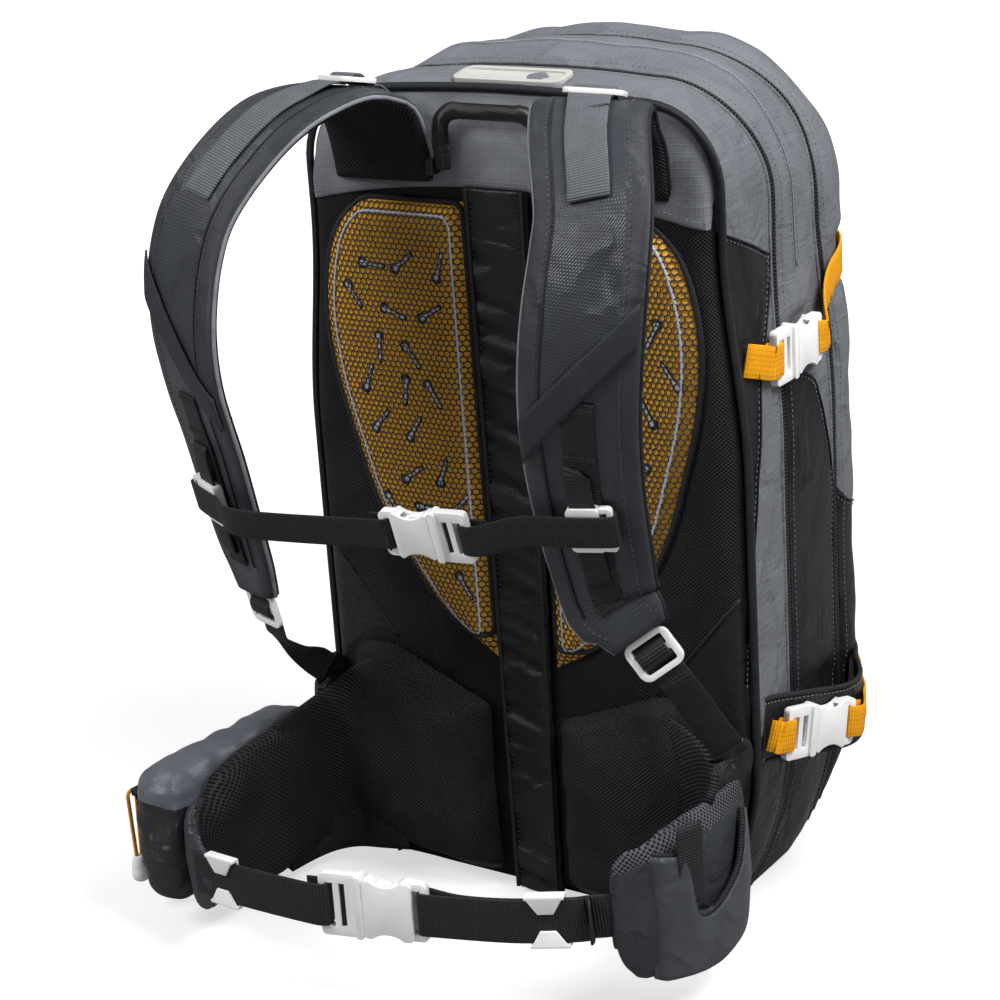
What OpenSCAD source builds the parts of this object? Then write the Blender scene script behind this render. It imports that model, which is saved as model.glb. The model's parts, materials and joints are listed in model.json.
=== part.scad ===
// Ski backpack with padded harness, hip belt, side compression straps and ski loops.
// Frame: +Z up, the wearer's side faces -Y, origin on the floor under the bag. Millimetres.

/* [Bag] */
// Height of the seam along the top of the back panel
panel_top = 513; // [495:1:525]
// Height of the top of the bag
bag_top = 528; // [522:1:545]
// Half width of the bag at the belly
belly_hw = 153; // [147:1:160]
// Half width of the bag at the yoke
yoke_hw = 141; // [135:1:146]
// Half width of the base
base_hw = 115; // [105:1:125]
// Distance from the origin back to the back panel seam
back_y = 82; // [78:1:86]
// Distance from the origin forward to the middle of the front zip
front_zip_y = 46; // [40:1:50]
// Distance from the origin back to the middle of the main zip
main_zip_back = 27; // [20:1:34]
// Radius that rounds the front edge of the bag
front_round = 48; // [42:1:54]
// Distance from the origin forward to the front edge of the flat base
base_front = 30; // [20:1:36]
// Thickness of a lined fabric panel
shell_t = 2.5; // [2:0.5:3.5]
// Width of a zip with its tape
zip_w = 12; // [10:1:14]

/* [Back panel] */
// Thickness of the spacer-mesh back panel
pad_t = 11; // [8:1:13]
// Height of the top edge of the back panel's mesh
pad_top = 462; // [455:1:468]
// How far the foam lobes stand proud of the mesh
lobe_crown = 6; // [3:1:9]
// Thickness of the lumbar pads over the mesh
lumbar_t = 18; // [12:1:22]
// Half width of the spine sleeve at its top
sleeve_top_hw = 23; // [20:1:25]
// Half width of the spine sleeve at its bottom
sleeve_low_hw = 18; // [15:1:20]
// Thickness of the frame sheet
sheet_t = 2; // [1:0.5:2.5]

/* [Harness] */
// Thickness of a shoulder strap
strap_t = 11; // [9:1:13]
// Width of the narrow webbing
web_w = 20; // [18:1:22]
// Thickness of webbing
web_t = 1.6; // [1.2:0.1:1.8]
// Width of the waist webbing
waist_w = 28; // [25:1:32]
// Thickness of a hip wing
wing_t = 16; // [12:1:18]

/* [Buckles] */
// Length of a small female half
small_female = 34; // [30:1:38]
// Length of a small male half outside the female
small_male = 24; // [22:1:28]
// Thickness of a small buckle
small_t = 9; // [8:0.5:10]
// Length of the waist female half
waist_female_len = 40; // [36:1:46]
// Length of the waist male half outside the female
waist_male_len = 28; // [26:1:32]
// Thickness of the waist buckle
waist_t = 11; // [10:0.5:12]
// Side wall of a buckle beyond its webbing
buckle_side = 5; // [4:0.5:6]
// Diameter of the haul loop's cord
haul_d = 9; // [7:1:10]

/* [Hidden] */
$fn = 24;

// Colours
grey = [0.41, 0.42, 0.45];
slate = [0.20, 0.21, 0.24];
black = [0.07, 0.07, 0.08];
orange = [0.96, 0.60, 0.07];
white = [0.92, 0.92, 0.92];

// Clearances: between soft pieces, and in a buckle's sliding fit
gap = 0.4;
fit = 0.3;

// Heights where the bag's sides change their taper
belly_z = 130;
waist_z = 300;
shoulder_z = 440;
// Radius of the bag's top corners at the back seam and at the front zip
corner_back = 45;
corner_front = 95;
// Rise of the sloping underside for each millimetre forward
base_slope = 1.6;
// How much narrower the belly is at the front zip than at the back seam
front_pinch = 7;
// Crown of the bag's top between its corners, and of the front panel
top_crown = 4;
front_crown = 5;

main_zip_y = -main_zip_back;
front_edge_y = front_zip_y + zip_w / 2 + front_round;
pad_y = -back_y - pad_t;

// Vector helpers
function mix(a, b, t) = a + (b - a) * t;
function clamp01(t) = min(1, max(0, t));
function smooth(t) = let (c = clamp01(t)) c * c * (3 - 2 * c);
function unit(v) = v / norm(v);
function sum(list) = list * [for (v = list) 1];
function mean(points) = [for (k = [0 : len(points[0]) - 1]) sum([for (p = points) p[k]])] / len(points);
function square_to(v, t) = unit(v - t * (v * t));
function reverse(list) = [for (i = [len(list) - 1 : -1 : 0]) list[i]];
function mirror_x(points) = [for (p = points) concat([-p[0]], [for (k = [1 : len(p) - 1]) p[k]])];

// One row of an open smooth curve through the rows of a list, at the place s
function curve_row(rows, s) =
    let (last = len(rows) - 1, i = min(last - 1, max(0, floor(s))), t = s - i)
    let (a = rows[max(0, i - 1)], b = rows[i], c = rows[i + 1], d = rows[min(last, i + 2)])
    0.5 * (2 * b + (c - a) * t + (2 * a - 5 * b + 4 * c - d) * t * t + (3 * b - a - 3 * c + d) * t * t * t);
function curve(rows, steps) = [for (k = [0 : (len(rows) - 1) * steps]) curve_row(rows, k / steps)];

// Volume that a list of triangles encloses, used to turn every face outwards
function enclosed(points, faces) =
    sum([for (f = faces) cross(points[f[0]], points[f[1]]) * points[f[2]]]) / 6;
module solid(points, faces) {
    turned = enclosed(points, faces) > 0 ? [for (f = faces) reverse(f)] : faces;
    polyhedron(points, turned, convexity = 8);
}

// Closed skin over rings of equal count, with a fan of triangles at each end
module loft(rings) {
    n = len(rings);
    m = len(rings[0]);
    points = concat([for (r = rings) each r], [mean(rings[0]), mean(rings[n - 1])]);
    sides = [
        for (i = [0 : n - 2], j = [0 : m - 1])
            let (k = (j + 1) % m)
                each [
                    [i * m + j, i * m + k, (i + 1) * m + k],
                    [i * m + j, (i + 1) * m + k, (i + 1) * m + j]
                ]
    ];
    first_cap = [for (j = [0 : m - 1]) [n * m, (j + 1) % m, j]];
    last_cap = [for (j = [0 : m - 1]) [n * m + 1, (n - 1) * m + j, (n - 1) * m + (j + 1) % m]];
    solid(points, concat(sides, first_cap, last_cap));
}

// Curved panel between an outer and an inner grid of points
module panel(outer, inner) {
    r = len(outer);
    c = len(outer[0]);
    points = concat([for (row = outer) each row], [for (row = inner) each row]);
    in0 = r * c;
    function quad(a, b, d, e) = [[a, b, d], [a, d, e]];
    skins = [
        for (i = [0 : r - 2], j = [0 : c - 2])
            let (a = i * c + j, b = a + 1, d = a + c + 1, e = a + c)
                each concat(quad(a, b, d, e), quad(in0 + e, in0 + d, in0 + b, in0 + a))
    ];
    row_edges = [
        for (j = [0 : c - 2])
            let (a = j, b = (r - 1) * c + j)
                each concat(quad(a + 1, a, in0 + a, in0 + a + 1), quad(b, b + 1, in0 + b + 1, in0 + b))
    ];
    column_edges = [
        for (i = [0 : r - 2])
            let (a = i * c, b = i * c + c - 1)
                each concat(quad(a, a + c, in0 + a + c, in0 + a), quad(b + c, b, in0 + b, in0 + b + c))
    ];
    solid(points, concat(skins, row_edges, column_edges));
}

// Flat ribbon along a path of points. Its width and the width's direction are one value or one for each point
function ribbon_rings(path, wide, w, t) = [
    for (i = [0 : len(path) - 1])
        let (run = unit(path[min(len(path) - 1, i + 1)] - path[max(0, i - 1)]))
        let (across = square_to(is_list(wide[0]) ? wide[i] : wide, run), up = cross(run, across))
            [for (q = [[-1, -1], [1, -1], [1, 1], [-1, 1]])
                path[i] + across * q[0] * (is_list(w) ? w[i] : w) / 2 + up * q[1] * t / 2]
];
module ribbon(path, wide, w, t) {
    loft(ribbon_rings(path, wide, w, t));
}

// Padded cross-section: a rounded rectangle about a middle, along two directions
function padded_ring(middle, across, up, w, t, n) = [
    for (k = [0 : n - 1])
        let (c = cos(360 * k / n), s = sin(360 * k / n))
            middle + across * w / 2 * sign(c) * sqrt(abs(c)) + up * t / 2 * sign(s) * sqrt(abs(s))
];

// Round tube along a path of points
module tube(path, d, sides) {
    loft([
        for (i = [0 : len(path) - 1])
            let (t = unit(path[min(len(path) - 1, i + 1)] - path[max(0, i - 1)]))
            let (u = unit(cross(t, abs(t[1]) < 0.9 ? [0, 1, 0] : [1, 0, 0])), v = cross(t, u))
                [for (k = [0 : sides - 1])
                    path[i] + (u * cos(360 * k / sides) + v * sin(360 * k / sides)) * d / 2]
    ]);
}

// Moves a piece from its own frame (pull along +X, width along Y, outer face +Z) to its place
module place(at, pull, outer) {
    x = unit(pull);
    z = square_to(outer, x);
    y = cross(z, x);
    multmatrix([
        [x[0], y[0], z[0], at[0]],
        [x[1], y[1], z[1], at[1]],
        [x[2], y[2], z[2], at[2]],
        [0, 0, 0, 1]
    ]) children();
}
function placed(at, pull, outer, p) =
    let (x = unit(pull), z = square_to(outer, x)) at + x * p[0] + cross(z, x) * p[1] + z * p[2];

// Mirrors a piece of the right side to the left when side is -1
module on_side(side) {
    mirror([side < 0 ? 1 : 0, 0, 0]) children();
}

// Flat outline with round corners, made of squares and circles so that its arcs stay true
module round_rect(l, w, r) {
    square([l - 2 * r, w], center = true);
    square([l, w - 2 * r], center = true);
    for (x = [-1, 1], y = [-1, 1]) translate([x * (l / 2 - r), y * (w / 2 - r)]) circle(r);
}

// Bag surface: half width at a height, top height, corner radius, underside and inset at a depth y
function depth_share(y) = clamp01((y + back_y) / (back_y + front_zip_y));
function side_hw(z, y) =
    let (belly = belly_hw - front_pinch * depth_share(y))
        z < belly_z
            ? belly - (belly - base_hw) * pow(1 - z / belly_z, 2)
            : belly - (belly - yoke_hw) * smooth((z - waist_z) / (shoulder_z - waist_z));
function top_z(y) = mix(panel_top, bag_top, sin(90 * depth_share(y)));
function corner_r(y) = mix(corner_back, corner_front, depth_share(y));
function floor_z(y) = max(0, (y - base_front) * base_slope);
function round_inset(y) =
    let (d = clamp01((y - front_zip_y - zip_w / 2) / front_round)) front_round * (1 - sqrt(1 - d * d));

// Arch of the bag in the plane at depth y, from the right foot over the top to the left foot
side_steps = 8;
arc_steps = 6;
function half_arch(y, inset) =
    let (r = corner_r(y), zc = top_z(y) - r, z0 = floor_z(y), xc = side_hw(zc, y) - r)
        concat(
            [for (k = [0 : side_steps])
                let (z = mix(z0, zc, k / side_steps)) [side_hw(z, y) - inset, y, z]],
            [for (k = [1 : arc_steps]) let (a = 90 * k / arc_steps)
                [xc + (r - inset) * cos(a), y, zc + (r - inset) * sin(a)]],
            [[0, y, top_z(y) - inset + top_crown]]
        );
function arch(y, inset) =
    let (right = half_arch(y, inset), left = reverse(mirror_x(right)))
        concat(right, [for (i = [1 : len(left) - 1]) left[i]]);
function bag_arch(y, inset) = arch(y, round_inset(y) + inset);

// Strip of the bag between two depths
module gusset(y0, y1, rows) {
    depths = [for (k = [0 : rows]) mix(y0, y1, k / rows)];
    panel([for (y = depths) bag_arch(y, 0)], [for (y = depths) bag_arch(y, shell_t)]);
}

// Flat outline of the bag's arch in X and Z
function flat_arch(y, inset) = [for (p = bag_arch(y, inset)) [p[0], p[2]]];

// Stands a flat X-Z outline up and gives it a thickness from depth y towards +Y
module standing(y, t) {
    translate([0, y + t, 0]) rotate([90, 0, 0]) linear_extrude(t) children();
}
module band_of_height(z0, z1) {
    translate([-2 * belly_hw, z0]) square([4 * belly_hw, z1 - z0]);
}

// Bag
module rear_gusset() {
    color(grey) gusset(-back_y, main_zip_y - zip_w / 2 - gap, 3);
}
module middle_gusset() {
    color(grey) gusset(main_zip_y + zip_w / 2 + gap, front_zip_y - zip_w / 2 - gap, 3);
}
module front_gusset() {
    y0 = front_zip_y + zip_w / 2 + gap;
    depths = [y0, for (k = [1 : 5]) front_edge_y - front_round * (1 - sin(17 * k))];
    color(grey) panel([for (y = depths) bag_arch(y, 0)], [for (y = depths) bag_arch(y, shell_t)]);
}
module main_zip() {
    color(black) gusset(main_zip_y - zip_w / 2, main_zip_y + zip_w / 2, 1);
}
module front_zip() {
    color(black) gusset(front_zip_y - zip_w / 2, front_zip_y + zip_w / 2, 1);
}
front_seam_y = front_edge_y - front_round * (1 - sin(85));
module front_panel() {
    edge = bag_arch(front_seam_y, gap);
    middle = [0, front_seam_y, mean(edge)[2]];
    shares = [0.12, 0.45, 0.75, 1];
    function ring(share, y0) =
        [for (p = edge) mix(middle, p, share) + [0, y0 + front_crown * (1 - share * share), 0]];
    inner = [for (s = shares) ring(s, gap)];
    outer = [for (s = reverse(shares)) ring(s, gap + shell_t)];
    color(grey) loft(concat(inner, outer));
}
module base_panel() {
    inset = shell_t + 3 * gap;
    front = front_seam_y - shell_t;
    depths = concat([-back_y + gap, -back_y / 2, 0], [for (k = [0 : 3]) mix(base_front, front, k / 3)]);
    function row(y, up) =
        let (hw = side_hw(floor_z(y), y) - round_inset(y) - inset)
            [for (x = [-1, -0.5, 0.5, 1]) [x * hw, y, floor_z(y) + up]];
    color(black) panel([for (y = depths) row(y, 0)], [for (y = depths) row(y, shell_t)]);
}
module divider_panel() {
    y = front_zip_y - zip_w / 2 - shell_t;
    color(slate) standing(y, shell_t) intersection() {
        polygon(flat_arch(y, shell_t + 3 * gap));
        band_of_height(floor_z(y + shell_t) + shell_t + gap, bag_top);
    }
}

// Frame inside the back
stay_w = 24;
stay_t = 3;
stay_low = 24;
stay_top = 492;
module frame_sheet() {
    color(black) standing(-back_y, sheet_t) intersection() {
        polygon(flat_arch(-back_y, shell_t + 2 * gap));
        band_of_height(shell_t + gap, bag_top);
    }
}
module frame_stay() {
    color("silver") standing(-back_y + sheet_t, stay_t) {
        translate([0, (stay_low + stay_top) / 2]) square([stay_w, stay_top - stay_low - stay_w], center = true);
        for (z = [stay_low + stay_w / 2, stay_top - stay_w / 2]) translate([0, z]) circle(stay_w / 2);
    }
}

// Back panel: mesh with the lobes and the spine sleeve let into it
panel_foot = 4;
seam_inset = 1.5;
lobe_top = 453;
lobe_low = 160;
function sleeve_hw(z) = mix(sleeve_low_hw, sleeve_top_hw, z / pad_top);
// Outer edge of the right lobe, from its top corner down to its tip
lobe_edge = [[98, 453], [123, 430], [134, 388], [132, 345], [121, 300], [102, 246], [62, 188]];
function lobe_outline(inner) = concat(
    [[sleeve_hw(lobe_top) + inner, lobe_top]], curve(lobe_edge, 3), [[sleeve_hw(lobe_low) + inner, lobe_low]]
);
function grown(outline, d) =
    let (n = len(outline))
        [for (i = [0 : n - 1])
            let (along = unit(outline[(i + 1) % n] - outline[(i + n - 1) % n]))
                outline[i] + d * [-along[1], along[0]]];
module lobe_hole() {
    edge = grown(lobe_outline(3 * gap), gap);
    tip = lobe_low - 3 * gap;
    polygon(concat(
        [[0, lobe_top + gap]], [for (i = [0 : len(edge) - 2]) edge[i]], [[sleeve_hw(lobe_low), tip], [0, tip]]
    ));
}
module sleeve_hole() {
    polygon([
        [-sleeve_hw(0) - gap, 0], [sleeve_hw(0) + gap, 0],
        [sleeve_hw(pad_top) + gap, pad_top + 1], [-sleeve_hw(pad_top) - gap, pad_top + 1]
    ]);
}
module back_panel() {
    color(black) standing(pad_y, pad_t) difference() {
        intersection() {
            polygon(flat_arch(-back_y, seam_inset));
            band_of_height(panel_foot, pad_top);
        }
        lobe_hole();
        mirror([1, 0]) lobe_hole();
        sleeve_hole();
    }
}

// Crowned pad over a flat outline: straight wall, then rings drawn in towards the middle
module crowned(outline, y0, wall, crown) {
    middle = mean(outline);
    function ring(share, y) = [for (p = outline) let (q = mix(middle, p, share)) [q[0], y, q[1]]];
    steps = [[1, y0], [1, y0 - wall * 0.8], [0.97, y0 - wall], [0.86, y0 - wall - crown * 0.55],
        [0.6, y0 - wall - crown * 0.88], [0.25, y0 - wall - crown]];
    loft([for (s = steps) ring(s[0], s[1])]);
}
module foam_lobe_left() {
    color(orange) crowned(mirror_x(lobe_outline(3 * gap)), -back_y, pad_t, lobe_crown);
}
module foam_lobe_right() {
    color(orange) crowned(lobe_outline(3 * gap), -back_y, pad_t, lobe_crown);
}
module spine_sleeve() {
    proud = pad_t + 4;
    function ring(z) = [
        for (q = [[-1, 0], [-1, 0.7], [-0.9, 0.92], [-0.6, 1], [0.6, 1], [0.9, 0.92], [1, 0.7], [1, 0]])
            [q[0] * sleeve_hw(z), -back_y - q[1] * proud, z]
    ];
    color(black) loft([for (k = [0 : 8]) ring(mix(panel_foot, pad_top, k / 8))]);
}
// Outline of the right lumbar pad, from the sleeve along the slanted top seam and down the side
lumbar_outer = 132;
lumbar_edge = [[98, 161], [122, 160], [lumbar_outer, 140], [lumbar_outer, 90], [126, 45], [104, 16]];
lumbar_inner_top = 130;
lumbar_low = 10;
function lumbar_outline() =
    let (x = sleeve_top_hw + gap) concat([[x, lumbar_inner_top]], curve(lumbar_edge, 2), [[x, lumbar_low]]);
module lumbar_pad_left() {
    color(black) crowned(mirror_x(lumbar_outline()), pad_y - gap, lumbar_t / 2, lumbar_t / 2);
}
module lumbar_pad_right() {
    color(black) crowned(lumbar_outline(), pad_y - gap, lumbar_t / 2, lumbar_t / 2);
}
module yoke_panel() {
    color(grey) standing(-back_y - shell_t, shell_t) intersection() {
        polygon(flat_arch(-back_y, seam_inset));
        band_of_height(pad_top + gap, bag_top);
    }
}
piping_d = 5;
module edge_piping() {
    color(black) tube(arch(-back_y - piping_d / 4, -piping_d / 2 - gap), piping_d, 6);
}

// Bare moulded plate on the sloping top behind the yoke
plate_l = 76;
plate_w = 22;
plate_t = 3;
plate_back = 20;
plate_x = -4;
module top_plate() {
    y0 = -back_y + plate_back;
    rise = top_z(y0 + plate_w / 2) - top_z(y0 - plate_w / 2);
    slope = atan2(rise, plate_w);
    lift = (top_z(y0 + plate_w / 2) + top_z(y0 - plate_w / 2)) / 2 + top_crown + gap;
    color([0.82, 0.80, 0.74]) translate([plate_x, y0, lift]) rotate([slope, 0, 0]) difference() {
        linear_extrude(plate_t) round_rect(plate_l, plate_w, 7);
        translate([0, 0, plate_t - 1]) linear_extrude(plate_t) round_rect(plate_l - 8, plate_w - 8, 4);
        translate([plate_l / 2 - 20, 0, -1]) linear_extrude(plate_t + 2) round_rect(14, 4, 1.5);
    }
}

// Haul loop: a soft arch that swings on its two sewn feet
haul_half = 33;
haul_z = 474;
haul_h = 34;
haul_r = 12;
haul_y = -back_y - pad_t - haul_d / 2 - gap;
pin_d = haul_d / 3;
pin_play = 0.1;
module haul_loop() {
    right = concat(
        [[haul_half, haul_y, haul_z - 1], [haul_half, haul_y, haul_z + haul_h - haul_r]],
        [for (k = [1 : 4]) let (a = 22.5 * k)
            [haul_half - haul_r * (1 - cos(a)), haul_y, haul_z + haul_h - haul_r * (1 - sin(a))]]
    );
    color(black) difference() {
        union() {
            tube(concat(right, reverse(mirror_x(right))), haul_d, 8);
            for (s = [-1, 1]) translate([s * haul_half, haul_y, haul_z]) rotate([0, 90, 0])
                cylinder(d = haul_d, h = haul_d + 2, center = true);
        }
        for (s = [-1, 1]) translate([s * haul_half, haul_y, haul_z]) rotate([0, 90, 0])
            cylinder(d = pin_d + 2 * pin_play, h = 2 * haul_d, center = true);
    }
}
anchor_w = 4;
module haul_anchors() {
    outer = haul_half + haul_d / 2 + 1 + fit;
    color(black) for (s = [-1, 1]) on_side(s) {
        translate([outer, haul_y - haul_d / 2, haul_z - haul_d / 2])
            cube([anchor_w, pad_t + haul_d + gap - shell_t, haul_d]);
        translate([haul_half, haul_y, haul_z]) rotate([0, 90, 0])
            cylinder(d = pin_d, h = haul_d / 2 + 1.5 + fit);
    }
}

// Shoulder straps. Each row: x, y, z, turn about the vertical, width
strap_right = [
    [80, -91.5, 464, 0, 72], [81, -98, 496, 0, 72], [85, -118, 518, 2, 68], [104, -155, 511, 4, 66],
    [124, -187, 478, 8, 66], [125, -203, 430, 12, 68], [119, -203, 380, 14, 68], [112, -190, 325, 14, 66],
    [112, -172.5, 257, 14, 60], [121, -170.5, 243, 15, 50], [130, -169, 231, 16, 38]
];
strap_left = [
    [-80, -91.5, 464, 0, 72], [-81, -98, 496, 0, 72], [-85, -118, 518, -2, 68], [-108, -163, 510, -6, 66],
    [-131, -206, 466, -12, 66], [-137, -222, 415, -18, 68], [-137, -221, 368, -22, 68],
    [-136, -210, 325, -22, 66], [-136, -192.5, 257, -22, 60], [-135, -187, 236, -20, 48],
    [-134, -184, 222, -18, 38]
];
strap_crest = 2;
// Middle, run, width direction and outer normal of a strap at the place s
function strap_frame(rows, s) =
    let (r = curve_row(rows, s), ahead = curve_row(rows, min(len(rows) - 1, s + 0.05)),
        run = ahead - curve_row(rows, max(0, s - 0.05)))
    let (t = unit([run[0], run[1], run[2]]), w = square_to([cos(r[3]), sin(r[3]), 0], t))
        [[r[0], r[1], r[2]], t, w, cross(t, w), r[4]];
// Point over a strap's outer face: place s, sideways, height over the face
function over_strap(rows, s, side, up) =
    let (f = strap_frame(rows, s)) f[0] + f[2] * side + f[3] * (strap_t / 2 + up);
module shoulder_strap(rows) {
    steps = 2 * (len(rows) - 1);
    color(slate) loft([
        for (k = [0 : steps])
            let (f = strap_frame(rows, k / 2)) padded_ring(f[0], f[2], f[3], f[4], strap_t, 14)
    ]);
}
module shoulder_strap_left() {
    shoulder_strap(strap_left);
}
module shoulder_strap_right() {
    shoulder_strap(strap_right);
}

// Ladder lock: a rounded frame with two slots, lying across its webbing
lock_t = 3;
lock_bar = 3.5;
lock_slot = 7;
lock_len = 3 * lock_bar + 2 * lock_slot;
function lock_height() = web_t + 2 * fit + lock_t / 2;
module ladder_lock(w) {
    color(white) linear_extrude(lock_t, center = true) difference() {
        round_rect(lock_len, w + 2 * buckle_side, 6);
        for (s = [-1, 1]) translate([s * (lock_bar + lock_slot) / 2, 0]) round_rect(lock_slot, w + 2, 1.5);
    }
}
// Heights of the webbing as it climbs over the lock's middle bar, from a lead before the lock to past it
function threaded(lead, past) =
    let (low = fit + web_t / 2, high = lock_height() + lock_t / 2 + fit + web_t / 2, x = lock_len / 2)
    let (foot = x - lock_bar - 0.9, top = lock_bar / 2 + 1.6)
        [[-x - lead, low], [-foot, low], [-top, high], [top, high], [foot, low], [x + past, low]];

// Load lifters: from the yoke's top seam, through the lock on the crest, along the strap
lifter_run = 1.9;
lifter_w = web_w + 4;
module lifter_webbing(rows) {
    f = strap_frame(rows, strap_crest);
    base = f[0] + f[3] * strap_t / 2;
    through = [for (q = threaded(4, 4)) base + f[1] * q[0] + f[3] * q[1]];
    places = [for (k = [3 : 9]) strap_crest + lifter_run * k / 9];
    along = [for (s = places) over_strap(rows, s, 0, 2 * gap + web_t / 2)];
    drop = [-back_y - shell_t - 3 * web_t, panel_top - 5] - [through[0][1], through[0][2]];
    turn = f[1][1] * f[3][2] - f[1][2] * f[3][1];
    back = (drop[0] * f[3][2] - drop[1] * f[3][1]) / turn;
    down = (f[1][1] * drop[1] - f[1][2] * drop[0]) / turn;
    foot = through[0] + f[1] * back + f[3] * down;
    path = concat([foot, mix(foot, through[0], 0.6)], through, along);
    wide = [for (i = [0 : len(path) - 1])
        let (k = i - len(path) + len(places)) k < 0 ? f[2] : strap_frame(rows, places[k])[2]];
    color(grey) ribbon(path, wide, lifter_w, web_t);
}
module load_lifter_webbing() {
    lifter_webbing(strap_left);
    lifter_webbing(strap_right);
}
module load_lifter_locks() {
    for (rows = [strap_left, strap_right]) {
        f = strap_frame(rows, strap_crest);
        place(f[0] + f[3] * (strap_t / 2 + lock_height()), f[1], f[3]) ladder_lock(lifter_w);
    }
}

// Lower webbing: from the strap's lower lock down to the side seam beside the lumbar pad
web_foot_z = 132;
web_foot_out = 8.5;
// Width directions where the webbing is sewn in, left and right: each has a natural twist
web_twist = [[0.2, 0.72, 0.6], [0.7, 0.5, 0.5]];
function lower_foot(side) = [side * (side_hw(web_foot_z, pad_y) - 4), pad_y - web_foot_out, web_foot_z];
function lock_middle(rows) =
    let (f = strap_frame(rows, len(rows) - 1)) f[0] + f[1] * (lock_len / 2 + gap);
module strap_locks() {
    for (rows = [strap_left, strap_right]) {
        f = strap_frame(rows, len(rows) - 1);
        place(lock_middle(rows), f[1], f[3]) ladder_lock(web_w);
    }
}
module strap_webbing() {
    for (rows = [strap_left, strap_right]) {
        f = strap_frame(rows, len(rows) - 1);
        side = f[0][0] > 0 ? 1 : -1;
        drop = lock_height();
        through = [for (q = threaded(-1, 9)) lock_middle(rows) + f[1] * q[0] + f[3] * (q[1] - drop)];
        foot = lower_foot(side);
        last = through[len(through) - 1];
        shares = [0.15, 0.3, 0.5, 0.75, 1];
        twist = web_twist[side < 0 ? 0 : 1];
        wide = concat([for (q = through) f[2]], [for (t = shares) unit(mix(f[2], twist, smooth(t)))]);
        color(black) ribbon(concat(through, [for (t = shares) mix(last, foot, t)]), wide, web_w, web_t);
    }
}

// Sternum strap: rails on the straps, sliders that run on them, webbing and buckle
rail_len = 76;
rail_ramp = 8;
rail_w = 15;
rail_lift = 3;
// The straps run straight here, so both sliders move along one line
strap_step = [0, 17.5, -68];
slide_dir = unit(strap_step);
function rail_place(rows) = rows[0][0] < 0 ? 7.5 : 7.3;
function rail_frame(rows) = strap_frame(rows, rail_place(rows));
function rail_middle(rows) = let (f = rail_frame(rows)) f[0] + f[3] * (strap_t / 2 + gap + rail_lift + web_t / 2);
module sternum_rails() {
    for (rows = [strap_left, strap_right]) {
        half = slide_dir * (rail_len / 2 - rail_ramp);
        step = rail_len / 2 / norm(strap_step);
        ends = [for (e = [-1, 1]) over_strap(rows, rail_place(rows) + e * step, 0, 2 * gap + web_t / 2)];
        path = [ends[0], rail_middle(rows) - half, rail_middle(rows) + half, ends[1]];
        color(black) ribbon(path, rail_frame(rows)[2], rail_w, web_t);
    }
}
slider_l = 28;
slider_t = 1.8;
slider_wall = 2;
slider_window = 4;
slider_bar = 3;
rail_play = web_t + 2 * fit;
rail_inside = rail_w + 2 * fit;
slider_half = rail_inside / 2 + slider_wall;
bar_t = rail_play + slider_t;
// Slider: two plates above and below the rail, joined at both sides, with a bar for the webbing at its outer side
module sternum_slider(rows) {
    side = rows[0][0] > 0 ? 1 : -1;
    color(white) place(rail_middle(rows), slide_dir, rail_frame(rows)[3]) {
        difference() {
            linear_extrude(rail_play + 2 * slider_t, center = true) round_rect(slider_l, 2 * slider_half, 3);
            cube([slider_l + 1, rail_inside, rail_play], center = true);
        }
        difference() {
            translate([0, side * (slider_half + (slider_window + slider_bar) / 2 - 1), 0])
                linear_extrude(bar_t, center = true) round_rect(slider_l, slider_window + slider_bar + 2, 2.5);
            translate([0, side * (slider_half + slider_window / 2), 0])
                cube([web_w + 2, slider_window, bar_t + 1], center = true);
            cube([slider_l + 1, rail_inside, rail_play], center = true);
        }
    }
}
module sternum_slider_left() {
    sternum_slider(strap_left);
}
module sternum_slider_right() {
    sternum_slider(strap_right);
}

// Side-release buckle with its mouth at x = 0: female half towards -X, male half towards +X
buckle_wall = 2;
bar_w = 4;
bar_slot = 5;
rear_wall = 3;
scallop = 3.5;
scallop_r = 16;
function buckle_w(w) = w + 2 * buckle_side;
function cavity_w(w) = buckle_w(w) - 2 * buckle_wall;
function cavity_depth(l) = l - bar_w - bar_slot - rear_wall;
function frame_t(t) = t * 0.55;
module buckle_female(w, l, t) {
    depth = cavity_depth(l);
    color(white) difference() {
        union() {
            translate([-l / 2, 0, 0]) linear_extrude(frame_t(t), center = true) round_rect(l, buckle_w(w), 4);
            translate([-(depth + rear_wall) / 2, 0, 0]) linear_extrude(t, center = true)
                round_rect(depth + rear_wall, buckle_w(w), 2.5);
        }
        translate([-depth, -cavity_w(w) / 2, -t / 2 + buckle_wall])
            cube([depth + 1, cavity_w(w), t - 2 * buckle_wall]);
        for (s = [-1, 1])
            translate([-depth / 2 - 1, s * (buckle_w(w) / 2 + scallop_r - scallop), 0])
                cylinder(r = scallop_r, h = t + 1, center = true);
        translate([-l + bar_w + bar_slot / 2, 0, 0]) cube([bar_slot, w + 1, t], center = true);
    }
}
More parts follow.
